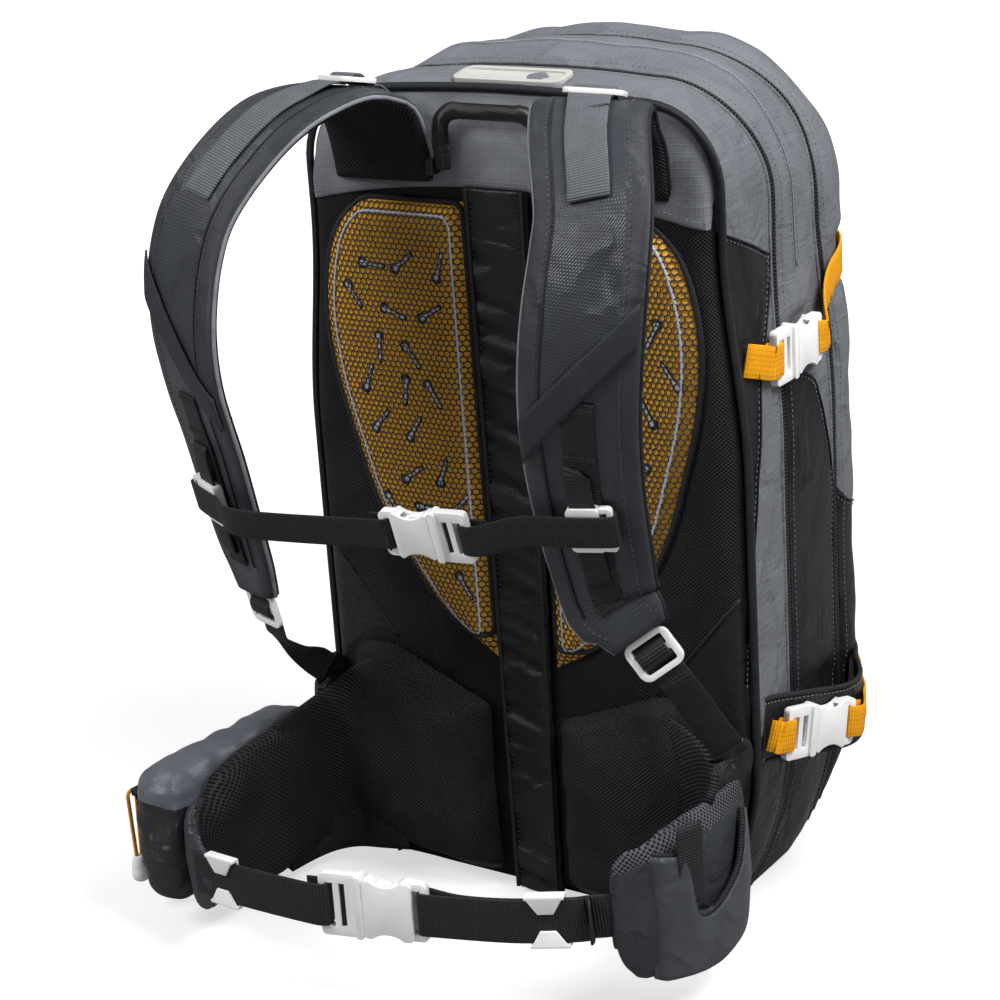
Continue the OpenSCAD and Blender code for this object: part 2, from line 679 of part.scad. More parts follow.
// Male half: stop flange, guide and two sprung arms in the female, and a ladder of bars for the webbing
module buckle_male(w, l, lf, t) {
    depth = cavity_depth(lf);
    inner_t = t - 2 * buckle_wall - 2 * fit;
    y1 = cavity_w(w) / 2 - fit;
    guide_w = w / 5;
    color(white) {
        translate([2.5 + fit, 0, 0]) linear_extrude(t, center = true) round_rect(5, buckle_w(w) + 3, 2);
        difference() {
            translate([l / 2 + 1, 0, 0]) linear_extrude(frame_t(t), center = true)
                round_rect(l - 2, buckle_w(w) + 3, 3);
            translate([l - bar_w - bar_slot / 2, 0, 0]) cube([bar_slot, w + 1, t], center = true);
            translate([l - 2 * bar_w - 1.5 * bar_slot + 1, 0, 0]) cube([bar_slot - 1, w + 1, t], center = true);
        }
        translate([1, 0, 0]) linear_extrude(inner_t, center = true) {
            translate([-depth * 0.75, -guide_w / 2]) square([depth * 0.75, guide_w]);
            for (s = [-1, 1]) mirror([0, s < 0 ? 1 : 0])
                polygon([
                    [0, y1 - 4.5], [0, y1 - 1], [-depth * 0.3, y1], [-depth * 0.62, y1], [-depth * 0.66, y1 - 2],
                    [-depth * 0.92, y1 - 2.6], [-depth * 0.95, y1 - 4], [-depth * 0.55, y1 - 4.2],
                    [-depth * 0.25, y1 - 3]
                ]);
        }
    }
}
// Webbing that turns round an end bar, in the buckle's own X and Z: sign is 1 for the male end
function bar_turn(l, t, sign, tail) =
    let (h = frame_t(t) / 2 + fit + web_t / 2, x = sign * (l - bar_w / 2),
        k = sign * (bar_w / 2 + web_t / 2 + fit))
    let (far = x - k * 1.06, near = x - k * 0.7)
        [[x + sign * tail, -h], [near, -h], [far, -h * 0.7], [far, h * 0.7], [near, h],
            [x + sign * (bar_w + 4), h]];
function turned(at, pull, outer, l, t, sign, tail) =
    [for (q = bar_turn(l, t, sign, tail)) placed(at, pull, outer, [q[0], 0, q[1]])];
tail_len = 12;

// Sternum strap between the sliders
sternum_drop = 8;
sternum_share = 0.63;
sternum_l = rail_middle(strap_left);
sternum_r = rail_middle(strap_right);
sternum_pull = unit(sternum_r - sternum_l);
sternum_out = [0, -1, -0.25];
sternum_front = 9;
sternum_at = mix(sternum_l, sternum_r, sternum_share) + slide_dir * sternum_drop - [0, sternum_front, 0];
module sternum_female() {
    place(sternum_at, sternum_pull, sternum_out) buckle_female(web_w, small_female, small_t);
}
module sternum_male() {
    place(sternum_at, sternum_pull, sternum_out) buckle_male(web_w, small_male, small_female, small_t);
}
// Webbing round a slider's bar and over its top plate: sideways from the rail's middle, and height
function slider_turn(rows, reach) =
    let (side = rows[0][0] > 0 ? 1 : -1, over = rail_play / 2 + slider_t + fit + web_t / 2)
    let (bar = slider_half + slider_window, h = bar_t / 2 + fit + web_t / 2, off = fit + web_t / 2)
    let (near = bar - off - 0.2, far = bar + slider_bar + off + 0.1, low = -h - 0.1)
        [for (q = [
            [near, 1], [near, -h * 0.62], [bar - 0.1, low], [far - 1, low], [far, -h * 0.65], [far, h * 0.65],
            [far - 1, -low], [slider_half + 0.5, over], [-slider_half - 0.5, over], [-reach, over - 1]
        ]) placed(rail_middle(rows), slide_dir, rail_frame(rows)[3], [0, side * q[0], q[1]])];
module sternum_webbing_left() {
    at_bar = slider_turn(strap_left, 38);
    at_buckle = turned(sternum_at, sternum_pull, sternum_out, small_female, small_t, -1, tail_len);
    color(black) ribbon(concat(at_bar, reverse(at_buckle)), slide_dir, web_w, web_t);
}
module sternum_webbing_right() {
    at_bar = slider_turn(strap_right, 36);
    at_buckle = turned(sternum_at, sternum_pull, sternum_out, small_male, small_t, 1, tail_len);
    color(black) ribbon(concat(at_bar, reverse(at_buckle)), slide_dir, web_w, web_t);
}

// Hip wings: rows of x, y, z, heading about the vertical, height, thickness share
wing_start = pad_y - gap;
wing_left_rows = [
    [-147, wing_start, 64, 0, 112, 0.9], [-156, -130, 64, 5, 110, 1], [-157, -175, 64, 0, 106, 1],
    [-157, -218, 63, -4, 96, 1], [-151, -242, 59, -36, 72, 0.8], [-135, -250, 55, -66, 48, 0.45],
    [-120, -253.2, 54, -76, 36, 0.3]
];
wing_right_rows = [
    [148, wing_start, 68, 0, 106, 0.75], [151.5, -125, 69, 2, 102, 0.7], [148, -154, 69.5, 14, 98, 0.7],
    [137.5, -182, 69.5, 30, 93, 0.7], [119, -203, 67, 46, 82, 0.6]
];
function wing_normal(row) = [cos(row[3]), -sin(row[3]), 0];
function wing_middle(row) = [row[0], row[1], row[2]];
module hip_wing(rows) {
    color(black) loft([
        for (k = [0 : 2 * (len(rows) - 1)])
            let (r = curve_row(rows, k / 2))
                padded_ring(wing_middle(r), [0, 0, 1], wing_normal(r), r[4], wing_t * r[5], 16)
    ]);
}
module hip_wing_left() {
    hip_wing(wing_left_rows);
}
module hip_wing_right() {
    hip_wing(wing_right_rows);
}
// Point over a wing's outer face at the place s, at a height z
function over_wing(rows, s, up, z) =
    let (r = curve_row(rows, s), p = wing_middle(r) + wing_normal(r) * sign(r[0]) * (wing_t * r[5] / 2 + up))
        [p[0], p[1], z];

// Zipped pocket on the outside of the left wing: rows of y, depth over the wing, height
pocket_z = 66;
pocket_rows = [[-104, 14, 84], [-125, 28, 98], [-232, 46, 95], [-240, 43, 86], [-246, 34, 66]];
pocket_in = -157 - wing_t / 2 - 2 * gap;
pocket_rear_in = pocket_in + 6.5;
function pocket_inner(y) = y > pocket_rows[1][0] ? pocket_rear_in : pocket_in;
module hip_pocket() {
    color(slate) loft([
        for (r = pocket_rows)
            padded_ring([pocket_inner(r[0]) - r[1] / 2, r[0], pocket_z], [0, 0, 1], [-1, 0, 0], r[2], r[1], 20)
    ]);
}
// Straight zip along the pocket's outer face
zip_t = 1.6;
zip_z = 84;
zip_ends = [-230, -132];
function zip_at(y) =
    let (t = (y - pocket_rows[1][0]) / (pocket_rows[2][0] - pocket_rows[1][0]))
        [pocket_in - mix(pocket_rows[1][1], pocket_rows[2][1], t) - gap - zip_t / 2, y, zip_z];
zip_front = zip_at(zip_ends[0]);
zip_rear = zip_at(zip_ends[1]);
zip_run = unit(zip_rear - zip_front);
pull_out = [-zip_run[1], zip_run[0], 0];
module hip_zip() {
    color(black) ribbon([zip_front, mix(zip_front, zip_rear, 0.5), zip_rear], [0, 0, 1], zip_w - 2, zip_t);
}
slider_len = 13;
slider_h = 8;
slider_d = 4;
eye_t = 3;
eye_rise = 3.5;
eye_d = 2;
slider_seat = zip_front + zip_run * 8;
// Zip slider lying on its zip, in its own frame, with an eye for the pull at its front end
module zip_slider() {
    eye_x = -slider_len / 2 + eye_t / 2 + 0.5;
    color("silver") difference() {
        union() {
            linear_extrude(slider_d) round_rect(slider_len, slider_h, 3);
            translate([eye_x, 0, slider_d]) cube([eye_t, slider_h - 3, 2 * eye_rise], center = true);
        }
        translate([eye_x, 0, slider_d + 1.2]) rotate([90, 0, 90]) cylinder(d = eye_d, h = 10, center = true);
    }
}
module hip_zip_slider() {
    place(slider_seat + pull_out * (zip_t / 2 + fit), zip_run, pull_out) zip_slider();
}
// Cord pull that hangs from the slider's eye, with a moulded bulb at its end
cord_d = 2.6;
pull_len = 50;
pull_half = 3.4;
bulb_d = 12;
bulb_l = 18;
pull_stand = zip_t / 2 + fit + slider_d + eye_rise + cord_d / 2 + gap;
pull_top = slider_seat + pull_out * pull_stand - zip_run * (slider_len / 2 - 2);
module hip_zip_pull() {
    function hung(share, z) = pull_top + zip_run * pull_half * share + [0, 0, z];
    low = 2 - pull_len;
    bow = [for (k = [0 : 6]) hung(cos(30 * k), pull_half * (sin(30 * k) - 1))];
    color(orange) tube(concat([hung(0.6, low)], bow, [hung(-0.6, low)]), cord_d, 8);
    color(white) translate(pull_top + [0, 0, 4 - pull_len - bulb_l / 2]) rotate_extrude() polygon([
        [0, bulb_l / 2], [3.4, bulb_l / 2], [5, bulb_l / 4], [bulb_d / 2, -bulb_l / 6],
        [5, -bulb_l / 2.4], [2.5, -bulb_l / 2], [0, -bulb_l / 2]
    ]);
}

// Gear holster on the outside of the right wing: an open pouch with a low mouth.
// Rows of x, y, bottom, top
holster_t = 2.5;
holster_floor = 4;
holster_rows = [
    [158, -111, 58, 104], [161.5, -117, 46, 96], [165, -130, 34, 74], [163.5, -149, 27, 62],
    [158, -167, 25, 62], [150.5, -181, 25, 78], [141.5, -190.5, 26, 92]
];
module gear_holster() {
    rows = curve(holster_rows, 2);
    n = len(rows);
    function run(i) = rows[min(n - 1, i + 1)] - rows[max(0, i - 1)];
    function plan(i, d) = let (r = run(i)) [rows[i][0], rows[i][1]] + unit([-r[1], r[0]]) * d;
    function wall(d) = [
        for (i = [0 : n - 1]) let (p = plan(i, d)) [[p[0], p[1], rows[i][2]], [p[0], p[1], rows[i][3]]]
    ];
    inner = [for (i = [3 : n - 3]) plan(i, 0)];
    back = [for (s = [2.8 : -0.2 : 1.2]) let (p = over_wing(wing_right_rows, s, gap, 0)) [p[0], p[1]]];
    color(black) {
        panel(wall(holster_t / 2), wall(-holster_t / 2));
        translate([0, 0, holster_rows[2][2]]) linear_extrude(holster_floor) polygon(concat(inner, back));
    }
}

// Waist belt: buckle in front, webbing to each wing, a keeper on each run
belt_z = 63;
waist_at = [-20, -249.8, belt_z];
waist_pull = unit([-0.966, -0.257, 0]);
waist_out = [0.257, -0.966, 0];
module waist_female() {
    place(waist_at, waist_pull, waist_out) buckle_female(waist_w, waist_female_len, waist_t);
}
module waist_male() {
    place(waist_at, waist_pull, waist_out) buckle_male(waist_w, waist_male_len, waist_female_len, waist_t);
}
// Runs of the webbing from each wing to the buckle
belt_left = [[-146, -256, 59.5], [-132, -258.5, 60], [-100, -262, 61.5]];
belt_right = concat(
    [for (s = [3.6, 4]) over_wing(wing_right_rows, s, gap + web_t / 2, belt_z + 8)],
    [[113, -212.6, belt_z + 7], [104, -217.6, belt_z + 6], [70, -229, belt_z + 2.5], [40, -235.4, belt_z + 0.5]]
);
layer = web_t + 2 * fit;
module waist_webbing_left() {
    at_buckle = turned(waist_at, waist_pull, waist_out, waist_male_len, waist_t, 1, tail_len);
    color(black) ribbon(concat(belt_left, reverse(at_buckle)), [0, 0, 1], waist_w, web_t);
}
// The right run turns round the female half's bar and comes back over itself as a free tail
module waist_webbing_right() {
    round_bar = turned(waist_at, waist_pull, waist_out, waist_female_len, waist_t, -1, 2);
    function back_of(k) = square_to([0, -1, 0], unit(belt_right[k - 1] - belt_right[k + 1])) * layer;
    back = [for (k = [4 : -1 : 2]) belt_right[k] + back_of(k)];
    flare = back[2] + [4, -5, 1];
    color(black) ribbon(concat(belt_right, round_bar, back, [flare]), [0, 0, 1], waist_w, web_t);
}
// Keeper: a clip behind the webbing with a tapered tab over each of its edges
keeper_l = 24;
keeper_t = 1.6;
keeper_rim = 2;
keeper_tab = 9;
module keeper(layers) {
    high = waist_w / 2 + fit;
    deep = layers * layer + 2 * fit;
    low = -deep / 2 - keeper_t;
    color(white) {
        translate([0, 0, low]) linear_extrude(keeper_t) round_rect(keeper_l, 2 * (high + keeper_rim), 1.5);
        for (s = [0, 1]) mirror([0, s, 0]) {
            translate([-keeper_l / 2, high, low]) cube([keeper_l, keeper_rim, deep + 2 * keeper_t]);
            translate([0, 0, deep / 2]) linear_extrude(keeper_t) polygon([
                [-keeper_l / 2, high + keeper_rim], [keeper_l / 2, high + keeper_rim],
                [keeper_l / 5, high - keeper_tab], [-keeper_l / 5, high - keeper_tab]
            ]);
        }
    }
}
// Place of a keeper on one straight stretch of a run, centred on its layers
module keeper_on(a, b, share, layers) {
    out = [0, -1, 0];
    run = unit(b - a);
    place(mix(a, b, share) + square_to(out, run) * (layers - 1) * layer / 2, run, out) keeper(layers);
}
module waist_keepers() {
    keeper_on(belt_left[1], belt_left[2], 0.38, 1);
    keeper_on(belt_right[4], belt_right[3], 0.62, 2);
}

// Side compression: levels are 0 for the upper strap and 1 for the lower one over the ski loop
loop_t = 2.4;
loop_h = 40;
// Ski loop on the right side: y, middle beyond the belly, middle height
loop_rows = [
    [-74, 1.6, 137], [-60, 1.8, 134], [-30, 11, 127.5], [-5, 18.8, 122], [15, 20, 119], [35, 13.5, 117],
    [55, 1, 116], [70, -6.5, 115], [82, -14, 115], [92, -25, 116]
];
function loop_point(row) = [belly_hw + row[1], row[0], row[2]];
module ski_loops() {
    path = [for (r = curve(loop_rows, 2)) loop_point(r)];
    color(black) for (s = [-1, 1]) on_side(s) ribbon(path, [0, 0, 1], loop_h, loop_t);
}
comp_y = [-21, -37];
comp_z = [361, 127];
comp_tilt = [0, -8.5];
comp_lean = [0, 18];
comp_stand = [1.4, 14.9];
comp_seam_y = -73;
comp_seam_z = [368, 135];
comp_seam_lift = [3 * gap + web_t / 2, loop_t + 6 * gap + web_t / 2];
// Half width of the bag under a strap's lower edge, where it is widest
function widest(z, y, w) = side_hw(z - w / 2, y);
function comp_at(k) =
    [widest(comp_z[k], comp_y[k], buckle_w(web_w)) + comp_stand[k] + small_t / 2, comp_y[k], comp_z[k]];
function comp_pull(k) =
    -[sin(comp_lean[k]) * cos(comp_tilt[k]), cos(comp_lean[k]) * cos(comp_tilt[k]), sin(comp_tilt[k])];
function comp_out(k) = [cos(comp_lean[k]), -sin(comp_lean[k]), 0];
function comp_wide(k) = unit(cross(comp_out(k), comp_pull(k)));
module rear_webbing(k) {
    at_buckle = turned(comp_at(k), comp_pull(k), comp_out(k), small_male, small_t, 1, 4);
    side = widest(comp_seam_z[k], comp_seam_y, web_w);
    seam = [side + comp_seam_lift[k], comp_seam_y, comp_seam_z[k]];
    end = at_buckle[len(at_buckle) - 1];
    bulge = mix(seam, end, 0.5) + [comp_seam_lift[k] / 2, 0, 0];
    ribbon(concat([seam, bulge], reverse(at_buckle)), comp_wide(k), web_w, web_t);
}
module compression_rear_webbing() {
    color(orange) for (s = [-1, 1], k = [0, 1]) on_side(s) rear_webbing(k);
}
module compression_males() {
    for (s = [-1, 1], k = [0, 1]) on_side(s)
        place(comp_at(k), comp_pull(k), comp_out(k)) buckle_male(web_w, small_male, small_female, small_t);
}
module compression_female(side, k) {
    on_side(side) place(comp_at(k), comp_pull(k), comp_out(k)) buckle_female(web_w, small_female, small_t);
}
module compression_female_upper_left() {
    compression_female(-1, 0);
}
module compression_female_upper_right() {
    compression_female(1, 0);
}
module compression_female_lower_left() {
    compression_female(-1, 1);
}
module compression_female_lower_right() {
    compression_female(1, 1);
}
// Front ends of the compression straps: the upper one climbs over the bag's side, the lower one
// lies over the ski loop
// Climb of the upper strap: y, height, middle beyond the bag's side
climb = [
    [29, 373, 5.4], [38, 382, 4], [48, 388, 2.6], [60, 392, 1.8], [72, 395, 1.8],
    [82, 397, 1.8], [90, 398, 1.8]
];
function on_bag(y, z, lift) = [widest(z, y, web_w) - round_inset(y) + lift, y, z];
function on_loop(s) =
    let (run = curve_row(loop_rows, s + 0.1) - curve_row(loop_rows, s - 0.1), out = unit([run[0], -run[1], 0]))
        loop_point(curve_row(loop_rows, s)) + out * (loop_t / 2 + 2 * gap + web_t / 2);
function comp_front(k) =
    k == 0 ? [for (r = climb) on_bag(r[0], r[1], r[2])] : [for (i = [9 : 17]) on_loop(i / 2)];
module front_webbing(side, k) {
    at_buckle = turned(comp_at(k), comp_pull(k), comp_out(k), small_female, small_t, -1, tail_len);
    front = comp_front(k);
    wide = concat([for (p = at_buckle) comp_wide(k)], [for (p = front) [0, 0, -1]]);
    color(orange) on_side(side) ribbon(concat(at_buckle, front), wide, web_w, web_t);
}
module compression_webbing_upper_left() {
    front_webbing(-1, 0);
}
module compression_webbing_upper_right() {
    front_webbing(1, 0);
}
module compression_webbing_lower_left() {
    front_webbing(-1, 1);
}
module compression_webbing_lower_right() {
    front_webbing(1, 1);
}

// Sliders of the two bag zips, on the left side, with a short cord tab
bag_slider_z = 185;
module bag_zip_slider(y) {
    at = [-fit - side_hw(bag_slider_z, y - slider_h / 2), y, bag_slider_z];
    place(at, [0, 0, 1], [-1, 0, 0]) zip_slider();
    color(black) tube([for (k = [0 : 3]) at + [-slider_d - 3.5, 0, -slider_len / 2 + 0.8 - 7 * k]], cord_d, 6);
}
module main_zip_slider() {
    bag_zip_slider(main_zip_y);
}
module front_zip_slider() {
    bag_zip_slider(front_zip_y);
}

frame_sheet();
frame_stay();
back_panel();
foam_lobe_left();
foam_lobe_right();
spine_sleeve();
lumbar_pad_left();
lumbar_pad_right();
yoke_panel();
edge_piping();
rear_gusset();
main_zip();
middle_gusset();
front_zip();
front_gusset();
front_panel();
base_panel();
divider_panel();
top_plate();
haul_loop();
haul_anchors();
shoulder_strap_left();
shoulder_strap_right();
load_lifter_webbing();
load_lifter_locks();
strap_locks();
strap_webbing();
sternum_rails();
sternum_slider_left();
sternum_slider_right();
sternum_webbing_left();
sternum_webbing_right();
sternum_female();
sternum_male();
hip_wing_left();
hip_wing_right();
hip_pocket();
hip_zip();
hip_zip_slider();
hip_zip_pull();
gear_holster();
waist_webbing_left();
waist_webbing_right();
waist_keepers();
waist_female();
waist_male();
ski_loops();
compression_rear_webbing();
compression_males();
compression_female_upper_left();
compression_female_upper_right();
compression_female_lower_left();
compression_female_lower_right();
compression_webbing_upper_left();
compression_webbing_upper_right();
compression_webbing_lower_left();
compression_webbing_lower_right();
main_zip_slider();
front_zip_slider();
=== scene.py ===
import contextlib
import functools
import json
import math

import bmesh
import bpy
import numpy as np
from mathutils import Matrix, Vector, noise

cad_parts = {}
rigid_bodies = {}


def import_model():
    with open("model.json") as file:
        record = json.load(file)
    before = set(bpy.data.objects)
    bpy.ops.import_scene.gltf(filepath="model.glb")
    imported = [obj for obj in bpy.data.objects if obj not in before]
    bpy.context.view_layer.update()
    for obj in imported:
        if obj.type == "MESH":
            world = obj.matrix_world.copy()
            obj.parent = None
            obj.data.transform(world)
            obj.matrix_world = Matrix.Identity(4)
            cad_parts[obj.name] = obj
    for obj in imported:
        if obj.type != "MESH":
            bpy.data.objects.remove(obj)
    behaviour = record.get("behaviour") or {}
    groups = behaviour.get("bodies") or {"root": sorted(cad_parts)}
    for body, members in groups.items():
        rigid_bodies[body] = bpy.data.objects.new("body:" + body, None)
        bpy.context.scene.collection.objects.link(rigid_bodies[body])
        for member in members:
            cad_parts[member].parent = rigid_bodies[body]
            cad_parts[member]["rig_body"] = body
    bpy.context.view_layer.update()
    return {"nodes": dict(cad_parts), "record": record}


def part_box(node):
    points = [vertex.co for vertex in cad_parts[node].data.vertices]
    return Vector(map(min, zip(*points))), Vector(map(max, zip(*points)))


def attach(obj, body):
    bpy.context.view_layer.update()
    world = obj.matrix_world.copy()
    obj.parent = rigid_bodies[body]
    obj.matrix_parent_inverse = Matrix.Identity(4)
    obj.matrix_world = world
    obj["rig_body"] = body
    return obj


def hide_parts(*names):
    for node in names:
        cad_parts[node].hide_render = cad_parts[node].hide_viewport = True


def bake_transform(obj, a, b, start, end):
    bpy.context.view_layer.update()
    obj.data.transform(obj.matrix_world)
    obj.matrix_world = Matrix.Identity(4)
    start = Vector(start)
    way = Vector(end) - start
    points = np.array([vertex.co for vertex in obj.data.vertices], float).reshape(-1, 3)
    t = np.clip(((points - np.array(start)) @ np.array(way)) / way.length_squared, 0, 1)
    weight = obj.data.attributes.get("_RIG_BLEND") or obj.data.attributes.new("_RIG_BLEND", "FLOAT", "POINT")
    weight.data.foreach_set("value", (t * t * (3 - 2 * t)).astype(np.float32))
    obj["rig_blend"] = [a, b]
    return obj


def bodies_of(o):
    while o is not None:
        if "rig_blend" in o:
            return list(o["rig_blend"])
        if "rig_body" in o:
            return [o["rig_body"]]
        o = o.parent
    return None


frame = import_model()

bl_info = {
    "name": "Ski backpack",
    "version": (1, 0, 0),
    "blender": (4, 5, 0),
    "location": "View3D > Sidebar > Backpack",
    "description": "Dresses the packed frame of a ski backpack in cloth, mesh, webbing and moulded plastic",
    "category": "Object",
}

MM = 0.001
TAU = 2 * math.pi
UP = np.array([0, 0, 1])
SIDES = ((-1, "left"), (1, "right"))


# ---- properties

def length(label, text, millimetres):
    """A size in the panel, shown in scene units and given here in millimetres."""
    return bpy.props.FloatProperty(name=label, description=text, default=millimetres * MM,
                                   min=0.0, unit="LENGTH", subtype="DISTANCE", precision=4)


def colour(label, text, rgb):
    """A base colour in the panel, linear red, green and blue."""
    return bpy.props.FloatVectorProperty(name=label, description=text, default=rgb, size=3,
                                         min=0.0, max=1.0, subtype="COLOR")


class PackSizes(bpy.types.PropertyGroup):
    """Sizes of the bag's form and of its sewn detail."""
    belly_half: length("Belly half width", "Half the bag's width at its widest", 153)
    yoke_half: length("Yoke half width", "Half the bag's width at the shoulders", 141)
    base_half: length("Base half width", "Half the bag's width on the floor", 115)
    panel_top: length("Panel top", "Height of the back panel", 513)
    bag_top: length("Bag top", "Height of the bag at its front", 528)
    back_depth: length("Back depth", "Depth of the bag behind its middle", 82)
    front_zip: length("Front zip", "Depth of the front zip", 46)
    main_zip: length("Main zip", "Depth of the main zip behind the middle", 27)
    front_round: length("Front rounding", "Rounding of the bag's front edge", 48)
    zip_width: length("Zip width", "Width of the zip's tape between the slabs", 12)
    pad_depth: length("Pad depth", "Thickness of the back padding", 11)
    slab_puff: length("Slab puff", "How far the cloth bulges between the zips", 5.5)
    net_pitch: length("Net pitch", "Distance between the holes of the net", 3.9)
    net_strand: length("Net strand", "Radius of the net's strands", 0.43)
    stitch_pitch: length("Stitch pitch", "Length of one stitch and its gap", 3.6)
    stitch_thread: length("Thread", "Radius of the sewing thread", 0.32)
    tooth_pitch: length("Tooth pitch", "Distance between the zip's coils", 2.3)


class PackColours(bpy.types.PropertyGroup):
    """Base colours of the pack's finishes."""
    grey_cloth: colour("Grey ripstop", "Cloth of the upper bag", (0.150, 0.158, 0.176))
    black_cloth: colour("Black satin", "Cloth of the lower bag", (0.010, 0.0108, 0.0125))
    slate_twill: colour("Slate twill", "Face cloth of the shoulder straps", (0.050, 0.055, 0.066))
    spacer: colour("Spacer mesh", "Black padded mesh", (0.016, 0.0155, 0.018))
    foam: colour("Orange foam", "Foam of the back lobes", (1.0, 0.50, 0.045))
    orange: colour("Orange webbing", "Side straps and cord", (1.0, 0.40, 0.006))
    black_web: colour("Black webbing", "Belt and strap webbing", (0.022, 0.023, 0.026))
    grey_web: colour("Grey webbing", "Load lifter webbing", (0.125, 0.135, 0.150))
    white: colour("White plastic", "Buckles and locks", (0.96, 0.96, 0.95))
    plate: colour("Plate", "Moulded plate on the top", (0.50, 0.49, 0.46))


def mm(name):
    """A size from the panel in millimetres."""
    return getattr(bpy.context.scene.pack_sizes, name) / MM


def rgb(name):
    """A colour from the panel with full alpha."""
    return (*getattr(bpy.context.scene.pack_colours, name), 1.0)


# ---- mathematics

def unit(v):
    v = np.asarray(v, float)
    return v / np.maximum(np.linalg.norm(v, axis=-1, keepdims=True), 1e-9)


def square_to(v, run):
    """The part of v square to run, as a unit vector."""
    v, run = np.asarray(v, float), np.asarray(run, float)
    return unit(v - np.sum(v * run, axis=-1, keepdims=True) * run)


def ease(t):
    t = np.clip(t, 0, 1)
    return t * t * (3 - 2 * t)


def curve(rows, s):
    """Points at places s on a smooth curve through rows."""
    rows = np.asarray(rows, float)
    last = len(rows) - 1
    s = np.clip(np.asarray(s, float), 0, last)
    k = np.minimum(s.astype(int), last - 1)
    t = (s - k)[:, None]
    a, b = rows[np.maximum(k - 1, 0)], rows[k]
    c, d = rows[k + 1], rows[np.minimum(k + 2, last)]
    return 0.5 * (2 * b + (c - a) * t + (2 * a - 5 * b + 4 * c - d) * t ** 2 + (3 * b - a - 3 * c + d) * t ** 3)


def far_along(path):
    """How far along a path each of its points lies."""
    return np.cumsum(np.pad(np.linalg.norm(np.diff(path, axis=0), axis=1), (1, 0)))


def xyz(x, y, z):
    """Points from their coordinates, each a number or an array."""
    return np.stack(np.broadcast_arrays(x, y, z), axis=-1)


def even(path, step, closed=False):
    """A path resampled to even steps."""
    if closed:
        path = np.vstack([path, path[:1]])
    far = far_along(path)
    count = max(int(round(far[-1] / step)), 2)
    at = np.linspace(0, far[-1], count + 1)
    out = np.stack([np.interp(at, far, path[:, k]) for k in range(path.shape[1])], axis=1)
    return out[:-1] if closed else out


def tangents(path):
    return unit(np.gradient(np.asarray(path, float), axis=0))


def knots(table, at):
    """A smooth value through a short table of (place, value)."""
    table = np.asarray(table, float)
    fine = np.linspace(table[0, 0], table[-1, 0], 400)
    value = np.interp(fine, table[:, 0], table[:, 1])
    value = np.convolve(np.pad(value, 12, mode="edge"), np.ones(25) / 25, mode="valid")
    return np.interp(at, fine, value)


def ripple(points, size, seed=0.0, stretch=(1, 1, 1)):
    """Smooth noise from -1 to 1 at each point, with lumps of about size millimetres."""
    scale = np.asarray(stretch, float) / size
    return np.array([noise.noise(Vector(p * scale + seed)) for p in np.reshape(points, (-1, 3))]
                    ).reshape(np.shape(points)[:-1])


# ---- mesh tools

def put(name, data):
    """An object in the scene."""
    obj = bpy.data.objects.new(name, data)
    bpy.context.scene.collection.objects.link(obj)
    return obj


def coords(obj, kind="co"):
    """The points of a mesh object in metres, or their normals."""
    raw = np.empty(len(obj.data.vertices) * 3)
    obj.data.vertices.foreach_get(kind, raw)
    return raw.reshape(-1, 3)


def move_to(obj, points):
    """Moves a mesh object's points, in metres."""
    obj.data.vertices.foreach_set("co", points.ravel())
    obj.data.update()


def box(node):
    """A CAD node's lowest and highest corner in millimetres."""
    return [np.array(c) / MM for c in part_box(node)]


def mesh_object(name, verts, faces, uv=None, finishes=(), pick=None, flat=False):
    """A mesh object from points in millimetres. uv holds one pair, in millimetres, per face corner."""
    mesh = bpy.data.meshes.new(name)
    mesh.from_pydata((np.reshape(verts, (-1, 3)) * MM).tolist(), [], [list(map(int, f)) for f in faces])
    if uv is not None:
        layer = mesh.uv_layers.new(name="flow")
        layer.data.foreach_set("uv", (np.asarray(uv, float) * MM).ravel())
    for finish in [finishes] if isinstance(finishes, str) else finishes:
        mesh.materials.append(material(finish))
    if pick is not None:
        mesh.polygons.foreach_set("material_index", np.asarray(pick, np.int32))
    mesh.polygons.foreach_set("use_smooth", np.full(len(mesh.polygons), not flat))
    mesh.update()
    return put(name, mesh)


def bake(obj):
    """Turns an object's modifiers into its own mesh."""
    graph = bpy.context.evaluated_depsgraph_get()
    mesh = bpy.data.meshes.new_from_object(obj.evaluated_get(graph), depsgraph=graph)
    obj.modifiers.clear()
    old, obj.data = obj.data, mesh
    bpy.data.meshes.remove(old)
    return obj


@contextlib.contextmanager
def mesh_work(obj):
    """A bmesh of an object's mesh, written back at the end."""
    work = bmesh.new()
    work.from_mesh(obj.data)
    yield work
    work.to_mesh(obj.data)
    work.free()


def outward(obj):
    """Makes a closed mesh's faces look outward."""
    with mesh_work(obj) as work:
        bmesh.ops.recalc_face_normals(work, faces=work.faces)
    return obj


def grid_faces(rows, columns, wrap=False):
    """Quads of a grid of points, and the grid place of each of their corners."""
    r, c = np.meshgrid(np.arange(rows - 1), np.arange(columns if wrap else columns - 1), indexing="ij")
    r, c = r.ravel(), c.ravel()
    corners = np.stack([np.stack([r, c], 1), np.stack([r, c + 1], 1),
                        np.stack([r + 1, c + 1], 1), np.stack([r + 1, c], 1)], axis=1)
    faces = corners[..., 0] * columns + corners[..., 1] % columns
    return faces, corners


def grid_uv(corners, u, v):
    """The pair for each face corner of a grid, from values across and along it."""
    return np.stack([u[corners[..., 1]], v[corners[..., 0]]], axis=-1).reshape(-1, 2)


